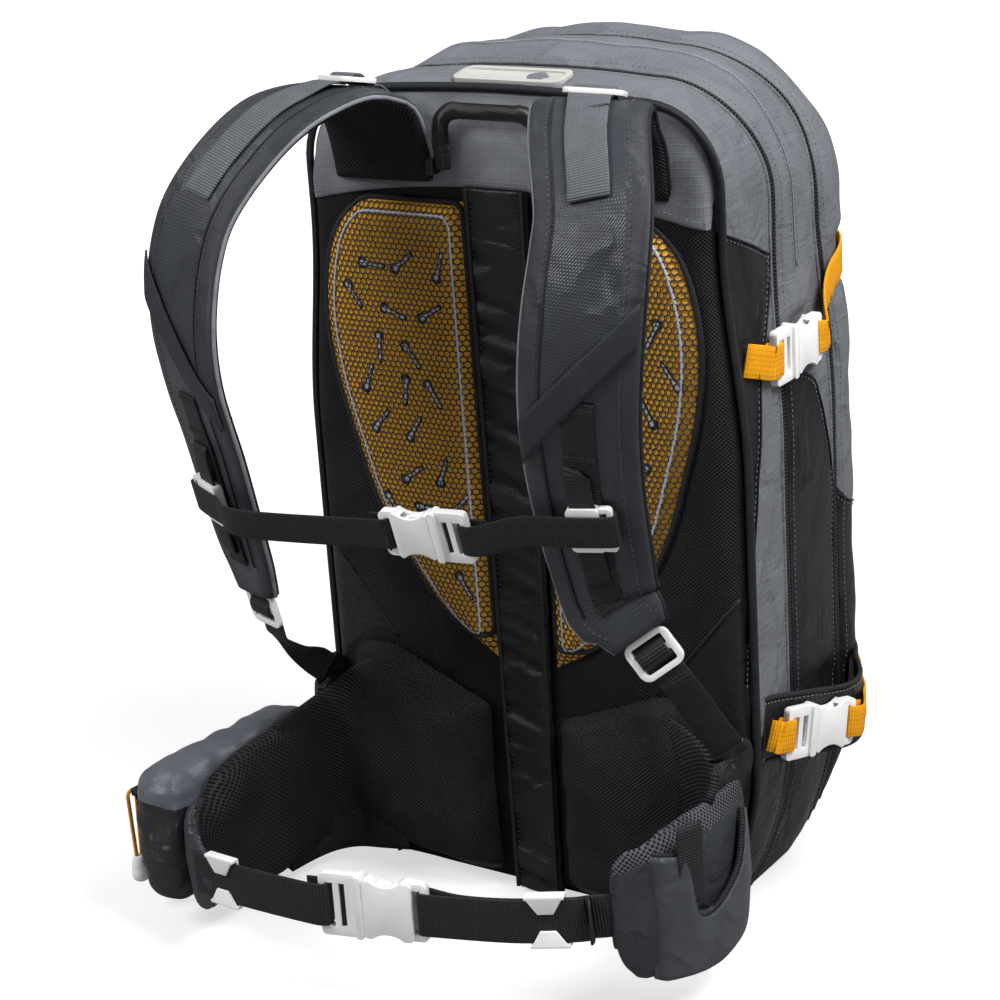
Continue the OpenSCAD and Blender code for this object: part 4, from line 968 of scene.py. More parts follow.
def geometry_tree(name, inputs):
    tree, given, out = new_tree(name, "Geometry", [("Geometry", "Geometry", None), *inputs,
                                                   ("Material", "Material", None)])
    tree.interface.new_socket(name="Geometry", in_out="OUTPUT", socket_type="NodeSocketGeometry")
    line = add(tree, "GeometryNodeMeshToCurve", {0: given.outputs["Geometry"]}).outputs[0]

    def end(shape):
        """Makes the shape real, gives it the material and hands it out."""
        solid = add(tree, "GeometryNodeRealizeInstances", {0: shape})
        done = add(tree, "GeometryNodeSetMaterial", {"Geometry": solid.outputs[0],
                                                     "Material": given.outputs["Material"]})
        tree.links.new(done.outputs[0], out.inputs[0])
        return tree

    return tree, given, line, end


@functools.cache
def row_tree(name):
    """Copies of a small shape at even steps along edges, turned along them and up."""
    tree, given, line, end = geometry_tree(name, [("Step", "Float", 0.004), ("Size", "Vector", (0.001, 0.001, 0.001))])
    if name == "Zip coils":
        unit_shape = add(tree, "GeometryNodeMeshCube", {"Size": (1.0, 1.0, 1.0)}).outputs[0]
    else:
        unit_shape = add(tree, "GeometryNodeMeshIcoSphere", {"Radius": 0.5, "Subdivisions": 1}).outputs[0]
    steps = add(tree, "GeometryNodeResampleCurve", {"Curve": line, "Length": given.outputs["Step"]}, mode="LENGTH")
    up = add(tree, "GeometryNodeInputNamedAttribute", {"Name": "up"}, data_type="FLOAT_VECTOR")
    stand = add(tree, "FunctionNodeAlignRotationToVector", {"Vector": up.outputs[0]}, axis="Z")
    turn = add(tree, "FunctionNodeAlignRotationToVector",
               {"Rotation": stand.outputs[0], "Vector": add(tree, "GeometryNodeInputTangent").outputs[0]},
               axis="X", pivot_axis="Z")
    copies = add(tree, "GeometryNodeInstanceOnPoints",
                 {"Points": steps.outputs[0], "Instance": unit_shape, "Rotation": turn.outputs[0],
                  "Scale": given.outputs["Size"]})
    return end(copies.outputs[0])


@functools.cache
def net_tree(name):
    """Round strands along every edge of a lattice."""
    tree, given, line, end = geometry_tree(name, [("Strand", "Float", 0.0006)])
    ring = add(tree, "GeometryNodeCurvePrimitiveCircle", {"Resolution": 4, "Radius": given.outputs["Strand"]})
    strands = add(tree, "GeometryNodeCurveToMesh", {"Curve": line, "Profile Curve": ring.outputs[0],
                                                    "Fill Caps": True})
    return end(strands.outputs[0])


def grow(obj, tree, **values):
    """Runs a geometry tree on an object and keeps the result as its mesh."""
    modifier = obj.modifiers.new(tree.name, "NODES")
    modifier.node_group = tree
    for item in tree.interface.items_tree:
        if item.item_type == "SOCKET" and item.in_out == "INPUT" and item.name in values:
            modifier[item.identifier] = values[item.name]
    return bake(obj)


def stitches(name, sewn, slot, thread="grey_thread", step=None, radius=None, share=0.66):
    """A sewn seam along each path; sewn holds pairs of a path and the way up from it."""
    step, radius = step or mm("stitch_pitch"), radius or mm("stitch_thread")
    seam = grow(polyline(name, sewn), row_tree("Sewn seam"), Step=step * MM,
                Size=(step * share * MM, radius * 2 * MM, radius * 2 * MM), Material=material(thread))
    return settle(seam, slot)


def zip_coils(name, path, up, high):
    """The row of coils along a zip."""
    coils = grow(polyline(name, [(path, up)]), row_tree("Zip coils"), Step=mm("tooth_pitch") * MM,
                 Size=(1.4 * MM, 4.4 * MM, high * MM), Material=material("black_plastic"))
    settle(coils, "black_trim")


def settle(obj, slot, *nodes, body="pack", pad=None):
    """Puts a finished piece on its body and hides the CAD nodes that it stands for."""
    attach(obj, body)
    if nodes:
        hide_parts(*nodes)
    return obj


# ---- shared makers

def body_of(node):
    """The body that a CAD node rides on."""
    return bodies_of(frame["nodes"][node])[0]


def joint(name):
    """A joint of the record."""
    return next(j for j in frame["record"]["behaviour"]["joints"] if j["name"] == name)


def section(middle, across, out, wide, high):
    """Rings of points round a middle line, from how far they lie across and out."""
    return middle[:, None] + across[:, None] * wide[..., None] + out[:, None] * high[..., None]


def ribbon(name, middle, across, half, thick, finish):
    """Webbing along a path, with soft edges."""
    run = tangents(middle)
    across = square_to(unit(across), run)
    half, thick = (np.broadcast_to(size, len(middle))[:, None] for size in (half, thick))
    w = np.array([-1, -.985, -.93, -.4, .4, .93, .985, 1, .985, .93, .4, -.4, -.93, -.985])
    h = np.array([0, .7, 1, 1, 1, 1, .7, 0, -.7, -1, -1, -1, -1, -.7])
    return loft(name, section(middle, across, np.cross(run, across), half * w, thick * h), finish)


def webbing_of(node, finish, wide=UP):
    """Webbing along each run of a CAD node, joined into one piece."""
    pieces = []
    for rings in node_rings(node):
        spine = Spine(rings, wide)
        s = np.unique(np.concatenate([spine.places(3.0), np.arange(spine.last + 1)]))
        middle, _, across, _, half, thick = spine.at(s)
        pieces.append(ribbon(node + "_cloth", middle, across, half, thick, finish))
    return join(pieces, node + "_cloth")


def web_piece(node, finish, slot=None, wide=UP):
    """A CAD node's webbing, settled on the node's body."""
    settle(webbing_of(node, finish, wide), slot or finish, node, body=body_of(node))


def join(objects, name):
    """Joins mesh objects into one, with each material once."""
    first = objects[0]
    if len(objects) > 1:
        work, order = bmesh.new(), []
        for obj in objects:
            start = len(work.faces)
            work.from_mesh(obj.data)
            work.faces.ensure_lookup_table()
            own = list(obj.data.materials)
            order += [m for m in own if m not in order]
            for face in work.faces[start:]:
                face.material_index = order.index(own[face.material_index])
        mesh = bpy.data.meshes.new(name)
        for m in order:
            mesh.materials.append(m)
        work.to_mesh(mesh)
        work.free()
        old = [obj.data for obj in objects]
        for obj in objects[1:]:
            bpy.data.objects.remove(obj)
        first.data = mesh
        for data in old:
            bpy.data.meshes.remove(data)
    first.name = name
    return first


def node_copy(node, name, finishes):
    """A welded copy of a CAD node's mesh."""
    return mesh_object(name, *node_points(node), finishes=finishes, flat=True)


# Angles of mouldings: edges flatter than the first are joined up, sharper than the second rounded, than the third sharp
FLAT_ANGLE, ROUND_ANGLE, SHARP_ANGLE = (math.radians(a) for a in (1.5, 28, 40))


def moulded(node, finish="white_plastic", radius=0.45, slot=None):
    """A plastic or metal moulding: the CAD form with its edges rounded."""
    obj = node_copy(node, node + "_moulding", finish)
    with mesh_work(obj) as work:
        bmesh.ops.recalc_face_normals(work, faces=work.faces)
        bmesh.ops.dissolve_limit(work, angle_limit=FLAT_ANGLE, verts=work.verts, edges=work.edges)
    edge = obj.modifiers.new("rounding", "BEVEL")
    edge.width, edge.segments = radius * MM, 2
    edge.limit_method, edge.angle_limit = "ANGLE", ROUND_ANGLE
    bake(obj).data.shade_smooth()
    obj.data.set_sharp_from_angle(angle=SHARP_ANGLE)
    settle(obj, slot or finish, node, body=body_of(node))


def blown(obj, rest, pressure, cap, shrink, pin, frames=18):
    """Where a closed cloth shell comes to lie when it is blown up, at most about cap from its rest."""
    move_to(obj, rest - coords(obj, "normal") * shrink * MM)
    cloth_mod = obj.modifiers.new("cloth", "CLOTH")
    settings = cloth_mod.settings
    settings.quality, settings.mass = 5, 0.25
    settings.tension_stiffness = settings.compression_stiffness = 12
    settings.shear_stiffness, settings.bending_stiffness = 6, 0.25
    settings.use_pressure, settings.uniform_pressure_force = True, pressure
    settings.shrink_min = -0.05
    settings.effector_weights.gravity = 0
    cloth_mod.collision_settings.use_collision = False
    cloth_mod.point_cache.frame_start, cloth_mod.point_cache.frame_end = 1, frames
    held = obj.vertex_groups.new(name="sewn")
    held.add([int(k) for k in np.nonzero(pin(rest / MM))[0]], 1.0, "REPLACE")
    settings.vertex_group_mass = "sewn"
    for number in range(1, frames + 1):
        bpy.context.scene.frame_set(number)
    moved = coords(obj.evaluated_get(bpy.context.evaluated_depsgraph_get())) - rest
    obj.modifiers.clear()
    obj.vertex_groups.clear()
    bpy.context.scene.frame_set(1)
    far = np.maximum(np.linalg.norm(moved, axis=1, keepdims=True), 1e-9)
    limit = cap * MM
    return rest + moved * np.minimum(1, limit * np.tanh(far / limit) / far)


def stuffed(node, finishes, pin, voxel=4.2, pressure=4.0, cap=8.0, shrink=0.6):
    """Padded cloth: the CAD form as a closed cloth shell, blown up a little so that it wrinkles."""
    obj = outward(node_copy(node, node + "_cloth", finishes))
    remesh = obj.modifiers.new("even", "REMESH")
    remesh.mode, remesh.voxel_size = "VOXEL", voxel * MM
    bake(obj)
    move_to(obj, blown(obj, coords(obj), pressure, cap, shrink, pin))
    smooth = obj.modifiers.new("soft", "SMOOTH")
    smooth.factor, smooth.iterations = 0.5, 9
    obj.modifiers.new("fine", "SUBSURF").levels = 1
    bake(obj).data.shade_smooth()
    return obj


def crumple(obj, size, depth, seed, stretch=(1, 1, 1), turn=0.0):
    """Pushes a finished cloth in and out along its normals by smooth noise, stretched along axes turned about Z."""
    at, way = coords(obj), coords(obj, "normal")
    c, s = math.cos(turn), math.sin(turn)
    lie = at @ np.array([[c, -s, 0], [s, c, 0], [0, 0, 1]])
    push = ripple(lie / MM, size, seed, stretch) * depth * MM
    move_to(obj, at + way * push[:, None])


def flat_uv(obj, u, v):
    """Lays the cloth's thread by two ways in space, or by two functions of its points, in metres."""
    points = coords(obj)
    corner = np.empty(len(obj.data.loops), np.int32)
    obj.data.loops.foreach_get("vertex_index", corner)
    both = np.stack([way(points) if callable(way) else points @ np.asarray(way, float) for way in (u, v)], axis=1)
    layer = obj.data.uv_layers.get("flow") or obj.data.uv_layers.new(name="flow")
    layer.data.foreach_set("uv", both[corner].ravel())


def pick_faces(obj, choose):
    """Gives each face the material number that choose returns for its centre."""
    centres = np.array([p.center for p in obj.data.polygons]) / MM
    obj.data.polygons.foreach_set("material_index", np.asarray(choose(centres), np.int32))


# ---- the bag's cloth

# The slanting top edge of the black cloth behind the main zip: its height at the back seam's depth, and its slope
SLANT_TOP, SLANT_BACK, SLANT_FALL = 444, -82, 0.45


def mark_black(obj, slab):
    """Stores how far inside the black cloth each point lies, about in millimetres to the seam."""
    _, y, z = coords(obj).T / MM
    base = BLACK_BASE + 0.05 * y - z
    if slab == 0:
        rows = np.asarray(BLACK_BACK, float)[::-1]
        behind = np.interp(z, rows[:, 0], rows[:, 1]) - y
        inside = np.minimum(behind, SLANT_TOP - (y - SLANT_BACK) * SLANT_FALL - z)
    else:
        rows = np.asarray(BLACK_BAND, float)
        inside = np.interp(y, rows[:, 1], rows[:, 0]) - z
    value = np.maximum(inside, base).astype(np.float32)
    obj.data.attributes.new("black", "FLOAT", "POINT").data.foreach_set("value", value)


def bag_slabs(bag):
    """The three stuffed bands of cloth between the zips."""
    t = np.linspace(-1, 1, 361)
    v = np.linspace(1, 0, 19)
    for slab, node in enumerate(("rear_gusset", "middle_gusset", "front_gusset")):
        edges = bag.slab_edges(t)[2 * slab:2 * slab + 2]
        y = edges[0][:, None] + (edges[1] - edges[0])[:, None] * v
        obj = sheet(node + "_cloth", bag.skin(y, t[:, None])[0], "bag_cloth")
        mark_black(obj, slab)
        settle(obj, "grey_ripstop", node)


def bag_zips(bag):
    """Each zip: a sunk tape, its coils, and folded cloth lips along both sides."""
    t = np.linspace(-1, 1, 421)
    for number, node in enumerate(("main_zip", "front_zip")):
        line = bag.zip_lines(t)[number]
        y = line[:, None] + np.linspace(1, -1, 7) * (bag.tape / 2 + 1.0)
        plain, out = bag.point(y, t[:, None])
        hump = -1.7 + 0.9 * np.exp(-(np.linspace(-1, 1, 7) / 0.28) ** 2)
        settle(sheet(node + "_tape", plain + out * hump[:, None], "zip_tape", 1.2), "black_trim", node)
        plain, out = bag.point(line, t)
        zip_coils(node + "_coils", plain - out * 0.45, out, 1.1)
        for side, hand in ((-1, "back"), (1, "front")):
            plain, out = bag.point(line + side * (bag.tape / 2 - 2.0), t)
            lip = tube(f"{node}_lip_{hand}", plain - out * 0.5, 1.2, "bag_cloth", 6)
            mark_black(lip, number + (side > 0))
            settle(lip, "black_trim")


def bag_ends(bag):
    """Front panel, base, and the piping round the back and front."""
    t = np.linspace(-1, 1, 181)
    rim, out = bag.skin(bag.seam, t)
    outline = np.vstack([rim, np.linspace(rim[-1], rim[0], 25)[1:-1]])
    middle = outline.mean(axis=0)
    rings = []
    for share in (1.0, 0.985, 0.95, 0.88, 0.76, 0.6, 0.42, 0.24, 0.08):
        ring = middle + (outline - middle) * share
        ring[:, 1] = bag.seam - 0.8 + (FRONT_CROWN + 1.5) * (1 - share ** 2.2)
        ring[:, 1] += 0.9 * ripple(ring, 44, 5.2) * (1 - share) ** 0.3
        rings.append(ring)
    panel = loft("front_panel_cloth", rings, "bag_cloth")
    flat_uv(panel, (1, 0, 0), UP)
    mark_black(panel, 2)
    settle(panel, "grey_ripstop", "front_panel")

    y = np.linspace(bag.back + 0.5, bag.seam - 0.5, 40)
    half = bag.half_width(bag.floor(y), y) - bag.sizes(y)[2]
    across = np.linspace(1, -1, 41)
    base = xyz(half[:, None] * across, y[:, None], bag.floor(y)[:, None])
    base[..., 2] += 0.15 + np.maximum(ripple(base, 40, 2.0), 0) * 1.2 * (1 - across ** 8)
    settle(sheet("base_cloth", base, "black_satin", 1.8), "shiny_black_fabric", "base_panel")

    plain, away = bag.point(bag.back - 1.25, t)
    settle(tube("back_piping", plain + away * 2.6, 2.5, "piping"), "black_trim", "edge_piping")
    settle(tube("front_piping", rim + out * 0.3, 2.0, "piping"), "black_trim")


# How far stitches lie beside a seam, beside the top seam and beside a zip's line
SEAM_STITCH, TOP_STITCH, ZIP_STITCH = 2.4, 2.2, 8.6


def bag_seams(bag):
    """Joins between the grey and black cloth, with a folded edge and stitches beside it."""
    lines, sewn = [], []
    back_line, band_line = (curve(rows, np.linspace(0, 1, 60) * (len(rows) - 1)).T
                            for rows in (BLACK_BACK[:-1], BLACK_BAND))
    slant_y = np.linspace(-81, -25, 30)
    for side in (-1, 1):
        for z, y in (back_line, (SLANT_TOP - (slant_y - SLANT_BACK) * SLANT_FALL, slant_y), band_line):
            points, out = bag.skin(y, bag.run(y, z, side), 0.35)
            lines.append(tube("cloth_seams", points, 0.85, "piping", 6, squash=0.7))
            sewn.append((points + unit(np.cross(tangents(points), out)) * SEAM_STITCH, out))
    t = np.linspace(-0.36, 0.36, 200)
    seam_y = 3.0 * (np.abs(t) / 0.36) ** 2 - 1.0
    lines.append(tube("cloth_seams", bag.skin(seam_y, t, 0.3)[0], 0.8, "pale_piping", 6, squash=0.7))
    sewn += [bag.skin(seam_y + shift, t, 0.25) for shift in (-TOP_STITCH, TOP_STITCH)]
    t = np.linspace(-0.97, 0.97, 400)
    sewn += [bag.skin(line + shift, t, 0.2) for line in bag.zip_lines(t) for shift in (-ZIP_STITCH, ZIP_STITCH)]
    settle(join(lines, "cloth_seams"), "grey_ripstop")
    stitches("bag_stitching", sewn, "grey_ripstop")


# ---- the back

# Outline of a foam lobe, as x and z
LOBE_EDGE = [(98, 453), (123, 430), (134, 388), (132, 345), (121, 300), (102, 246), (62, 188), (21, 160)]
LOBE_LOW, LOBE_TOP, LOBE_CROWN = 160.0, 453.0, 6.0
PANEL_FOOT, PAD_TOP = 4.0, 462.0
# Rounding at the edges of lobe and panel, how far the panel stands off there, and the lobe's gap to the sleeve
LOBE_ROUND, PANEL_ROUND, PANEL_RISE, SLEEVE_GAP = 22, 13, 9.6, 1.2
# The satin gusset above each hip: where its line starts in x and z, and its slope
GUSSET_X, GUSSET_Z, GUSSET_RISE = 95, 158, 1.25


class Back:
    """Heights of the padded back over its flat drawing in x and z."""

    def __init__(self, bag):
        self.bag, self.face = bag, bag.back - mm("pad_depth")
        edge = curve(LOBE_EDGE, np.linspace(0, len(LOBE_EDGE) - 1, 200))
        self.edge = edge[np.argsort(edge[:, 1])]

    def half(self, z):
        """Half the width of the mesh panel."""
        return self.bag.half_width(z, self.bag.back) - 1.5

    def sleeve(self, z):
        return 18 + 5 * np.clip(z / PAD_TOP, 0, 1)

    def lobe_outer(self, z):
        return np.interp(z, self.edge[:, 1], self.edge[:, 0])

    def lobe_inset(self, x, z):
        """Distance inside the lobe's outline; x is positive."""
        slope = np.gradient(self.edge[:, 0], self.edge[:, 1])
        lean = np.sqrt(1 + np.clip(np.interp(z, self.edge[:, 1], slope), -6, 6) ** 2)
        outer = (self.lobe_outer(z) - x) / lean
        return np.minimum(np.minimum(outer, x - self.sleeve(z) - SLEEVE_GAP), LOBE_TOP - z)

    def lobe_y(self, x, z):
        inset = np.clip(self.lobe_inset(x, z) / LOBE_ROUND, 0, 1)
        return self.face + 2.2 - (LOBE_CROWN + 2.2) * (1 - (1 - inset) ** 2.4)

    def on_lobe(self, side, x, z, up=0.0):
        """Points on a lobe's foam, raised by up; x is positive."""
        return xyz(side * x, self.lobe_y(x, z) - up, z)

    def panel_y(self, x, z):
        """The mesh panel, rounded down at its edges; x is positive."""
        depth = np.clip(np.minimum(self.half(z) - x, z - PANEL_FOOT) / PANEL_ROUND, 0, 1)
        return self.bag.back - 1.2 - PANEL_RISE * np.sqrt(1 - (1 - depth) ** 2)

    def yoke_low(self, x):
        return PAD_TOP - 16 * (np.abs(x) / 140) ** 2.2


def back_panel(back):
    """Spacer mesh all over the back, with a gusset of satin above each hip."""
    z = np.linspace(PANEL_FOOT, PAD_TOP, 170)[:, None]
    x = back.half(z) * np.linspace(-1, 1, 101)
    z = np.broadcast_to(z, x.shape)
    grid = xyz(x, back.panel_y(np.abs(x), z), z)
    grid[..., 1] += 1.3 * np.exp(-(back.lobe_inset(np.abs(x), z) / 4.5) ** 2) + 0.5 * ripple(grid, 34, 1.4)
    obj = sheet("back_mesh", grid, ["spacer_mesh", "black_satin"], 3.0)

    def gusset(x):
        return GUSSET_Z + GUSSET_RISE * (x - GUSSET_X)

    pick_faces(obj, lambda c: (np.abs(c[:, 0]) > 100) & (c[:, 2] < gusset(np.abs(c[:, 0]))))
    settle(obj, "spacer_mesh", "back_panel", pad=0.8)
    x = np.linspace(99, 150, 30)
    lines = [tube("gusset_seams", xyz(side * x, back.panel_y(x, gusset(x)) - 0.4, gusset(x)), 1.3, "piping", 6)
             for side in (-1, 1)]
    settle(join(lines, "gusset_seams"), "black_trim")


def foam_lobes(back):
    """Crowned foam lobes, the net over them, their slits and their welted edges."""
    z = np.concatenate([np.linspace(LOBE_LOW, 200, 26), np.linspace(202, LOBE_TOP, 90)])
    share = np.concatenate([np.linspace(0, .12, 7), np.linspace(.15, .85, 24), np.linspace(.88, 1, 7)])
    inner = back.sleeve(z) + SLEEVE_GAP
    outer = np.maximum(back.lobe_outer(z), inner + 0.6)
    x = inner[:, None] + (outer - inner)[:, None] * share
    for side, hand in SIDES:
        node = "foam_lobe_" + hand
        grid = back.on_lobe(side, x, np.broadcast_to(z[:, None], x.shape))[:, ::side]
        settle(sheet(node + "_foam", grid, "orange_foam", 5.0), "orange_foam", node, pad=0.9)
        settle(lobe_net(back, side, node + "_net"), "black_trim")
        settle(lobe_slits(back, side, node + "_slits"), "black_trim")
        welt = []
        for inset, radius, finish in ((1.5, 2.0, "piping"), (9.5, 1.1, "slit_pale")):
            up_z = np.linspace(176, LOBE_TOP - inset, 90)
            inside = back.sleeve(up_z) + SLEEVE_GAP + inset
            outside = np.maximum(back.lobe_outer(up_z) - inset * 1.25, inside + 2)
            loop = np.vstack([np.stack([inside, up_z], 1), np.stack([outside, up_z], 1)[::-1]])
            loop = even(loop, 3.0, closed=True)
            for _ in range(4):
                loop = (np.roll(loop, 1, 0) + 2 * loop + np.roll(loop, -1, 0)) / 4
            path = back.on_lobe(side, *loop.T, 0.1)
            welt.append(tube(node + "_welt", path, radius, finish, 6, closed=True, up=(0, 1, 0)))
        settle(join(welt, node + "_welt"), "black_trim")


def lobe_net(back, side, name):
    """Honeycomb net laid over a lobe."""
    pitch = mm("net_pitch")
    reach, height = pitch / math.sqrt(3), pitch * math.sqrt(3) / 2
    turn = [math.radians(30 + 60 * k) for k in range(6)]
    found, verts, edges = {}, [], set()
    for row in range(int((LOBE_TOP - LOBE_LOW) / height) + 1):
        for column in range(int(140 / pitch)):
            x = 18 + pitch * (column + 0.5 * (row % 2))
            z = LOBE_LOW + row * height
            ring = np.array([(x + reach * math.cos(a), z + reach * math.sin(a)) for a in turn])
            if back.lobe_inset(*ring.T).min() < 0.4:
                continue
            index = []
            for p in ring:
                key = (round(p[0], 1), round(p[1], 1))
                if key not in found:
                    found[key] = len(verts)
                    verts.append(back.on_lobe(side, *p, 0.75) * MM)
                index.append(found[key])
            edges |= {tuple(sorted((index[k], index[(k + 1) % 6]))) for k in range(6)}
    mesh = bpy.data.meshes.new(name)
    mesh.from_pydata(np.array(verts).tolist(), sorted(edges), [])
    return grow(put(name, mesh), net_tree("Net strands"), Strand=mm("net_strand") * MM, Material=material("net"))


SLIT_TURNS, SLIT_MARGIN = (55, -40, 100, 10, -65), 16


def lobe_slits(back, side, name):
    """Keyhole slits scattered over a lobe: a dark surround with a pale core under the net."""
    dice = np.random.default_rng(7 if side < 0 else 11)
    made = []
    along = np.array([-1, -.96, -.8, -.4, 0, .3, .42, .55, .7, .85, .96, 1])
    keyhole = np.array([.2, .8, 1, 1, 1, 1, 1.4, 1.9, 2.1, 1.9, 1.2, .2])
    for row, z in enumerate(np.arange(204, 442, 26.0)):
        for column in range(4):
            x = 38 + 27 * column + 11 * (row % 2) + dice.uniform(-4, 4)
            high = z + dice.uniform(-6, 6)
            if back.lobe_inset(x, high) < SLIT_MARGIN:
                continue
            turn = math.radians(SLIT_TURNS[(row * 3 + column * 2) % 5] + dice.uniform(-12, 12))
            for half, radius, up, finish in ((10.5, 1.8, 0.15, "slit"), (9.2, 0.95, 0.4, "slit_pale")):
                path = back.on_lobe(side, x + along * half * math.cos(turn), high + along * half * math.sin(turn), up)
                made.append(tube(name, path, radius * keyhole, finish, squash=0.12, up=(0, 1, 0)))
    return join(made, name)


def spine_sleeve(back):
    """Shiny sleeve over the stay, gathered in cross creases between two corded edges."""
    z = np.linspace(PANEL_FOOT, PAD_TOP, 300)
    share = np.linspace(-1, 1, 33)
    half = back.sleeve(z) - 0.4
    grid = xyz(half[:, None] * share, back.face + 1.0 - 5.2 * (1 - np.abs(share) ** 6) ** 0.5, z[:, None])
    slant = grid + grid[..., :1] * np.array([0, 0, 0.3])
    gather = 2.4 * np.tanh(ripple(slant, 15, 4.4, (0.2, 1, 1.3)) * 2.4 + ripple(slant, 8, 9.1, (0.2, 1, 1.1)) * 0.8)
    grid[..., 1] -= gather * (1 - np.abs(share) ** 4) * ease((440 - z[:, None]) / 60)
    settle(sheet("sleeve_cloth", grid, "sleeve_satin", 2.0), "shiny_black_fabric", "spine_sleeve")
    cords = [tube("sleeve_cords", xyz(side * (half - 3.0), back.face - 3.9, z), 1.5, "piping") for side in (-1, 1)]
    settle(join(cords, "sleeve_cords"), "shiny_black_fabric")
    sewn = [(xyz(side * (half - 6.0), back.face - 4.3, z), UP) for side in (-1, 1)]
    stitches("sleeve_stitching", sewn, "shiny_black_fabric", "black_thread")


# The line where the hip's mesh ends in shiny cloth, as x and z
SATIN_FOOT = [(18, 18), (60, 20), (94, 27), (114, 34), (130, 42), (140, 38), (145, 28), (148, 10)]


def satin_foot(centre):
    return centre[:, 2] < np.interp(np.abs(centre[:, 0]), *np.transpose(SATIN_FOOT))


def lumbar_pads():
    """Stuffed mesh pads at the small of the back."""
    for _, hand in SIDES:
        node = "lumbar_pad_" + hand
        pad = stuffed(node, ["spacer_mesh", "black_satin"], lambda p: p[:, 1] > -95.5, 4.5, 3.0, 5.0)
        low, high = (np.array(c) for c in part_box(node))
        centre, half = (low + high) / 2, (high - low) / 2
        flat_uv(pad, *[lambda p, k=k: p[:, k] + (p[:, k] - centre[k]) / half[k] * (p[:, 1] - low[1]) for k in (0, 2)])
        pick_faces(pad, satin_foot)
        settle(pad, "spacer_mesh", node, pad=0.7)


# Rows of the mesh beside a lumbar pad: x, y, lower and upper z. The right wing takes up the last row
HIP_BRIDGE = [(94, -109, 15, 152), (114, -111.5, 13, 150), (130, -113, 11, 138), (140, -121, 10, 126),
              (145, -136, 10, 120), (148, -158, 10, 117)]


def wall(rows, v):
    """A standing wall of cloth over rows of x, y, lower and upper z."""
    return xyz(rows[:, :1], rows[:, 1:2], rows[:, 2:3] + (rows[:, 3:4] - rows[:, 2:3]) * v)


def hip_bridges():
    """The mesh that runs on from each lumbar pad into the wing, over black cloth at its foot."""
    for side, hand in SIDES:
        last = 5 if side < 0 else 4
        rows = curve(HIP_BRIDGE[:last + 1], np.linspace(0, last, 50)) * (side, 1, 1, 1)
        v = np.linspace(0, 1, 40)
        grid = wall(rows, v)
        out = np.cross(UP, tangents(xyz(rows[:, 0], rows[:, 1], 0))) * -side
        bow = 1 - np.abs(2 * v - 1) ** 5
        grid += out[:, None] * ((bow - 1) * 4 + 0.8 * ripple(grid, 24, 5.5) * bow)[..., None]
        obj = sheet("hip_bridge_" + hand, grid[::-side], ["spacer_mesh", "black_satin"], 5.0)
        pick_faces(obj, satin_foot)
        settle(obj, "spacer_mesh", pad=0.6)


def yoke(back):
    """Grey yoke between the straps' roots and the top seam."""
    bag = back.bag
    low = bag.run(bag.back, 446)
    t = np.linspace(-low, low, 141)
    rim, _ = bag.point(bag.back - 0.5, t)
    rim[:, 0] *= 0.988
    x = rim[:, 0] * 0.985
    foot = xyz(x, back.panel_y(np.abs(x), back.yoke_low(x)) - 0.8, back.yoke_low(x))
    v = np.linspace(1, 0, 25)
    grid = foot[:, None] * (1 - v[:, None]) + rim[:, None] * v[:, None]
    bow = np.sin(v * math.pi) * ease((rim[:, 2] - foot[:, 2]) / 40)[:, None]
    grid[..., 1] -= 3.2 * bow + 0.9 * ripple(grid, 30, 6.6) * bow
    # The yoke's cloth is a lighter copy of the bag's grey: painted light
    obj = sheet("yoke_cloth", grid, "grey_ripstop", 1.8)
    flat_uv(obj, (1, 0, 0), UP)
    settle(obj, "grey_ripstop", "yoke_panel")
    settle(tube("yoke_binding", foot + (0, -0.4, 0), 1.6, "piping"), "black_trim")
    stitches("yoke_stitching", [(foot + (0, -1.2, 4.5), UP)], "grey_ripstop")


def haul_handle():
    """Webbing haul loop, rolled round its edges and flattened where it is gripped."""
    low, high = box("haul_loop")
    thick = high[1] - low[1]
    half = (high[0] - low[0] - thick) / 2
    y, foot, top, round_off = (low[1] + high[1]) / 2, low[2] + thick / 2, high[2] - thick / 2, 12.0
    a = np.linspace(0, math.pi / 2, 9)
    corner = xyz(half - round_off * (1 - np.cos(a)), y, top - round_off * (1 - np.sin(a)))
    right = np.vstack([[[half, y, foot - 1]], [[half, y, foot + 8]], corner])
    path = even(np.vstack([right, right[::-1] * (-1, 1, 1)]), 2.0)
    radius = thick / 2 * (1.2 - 0.1 * (np.abs(path[:, 0]) / half < 0.6))
    loop = tube("haul_loop_cloth", path, radius, "sleeve_satin", 12, squash=0.72, up=(0, 1, 0))
    settle(loop, "black_webbing", "haul_loop", body=body_of("haul_loop"))
    moulded("haul_anchors", "black_plastic", 0.8, "black_webbing")


# ---- shoulder straps

STRAP_FACE = np.array([-1, -.985, -.93, -.82, -.62, -.3, 0, .3, .62, .82, .93, .985, 1])
# Places along each strap where its slanting strip crosses the two edges, and where its sewn-down strip runs
DIAGONALS = {"left": (4.75, 6.35), "right": (6.55, 5.05)}
DAISY = {"left": (6.2, 8.4), "right": (6.0, 8.35)}
ROW_SHARE = 2.0
# The cloth lies calm within this reach of the chest strap's slider, and folds again past the fade
CALM_REACH, CALM_FADE = 32, 20


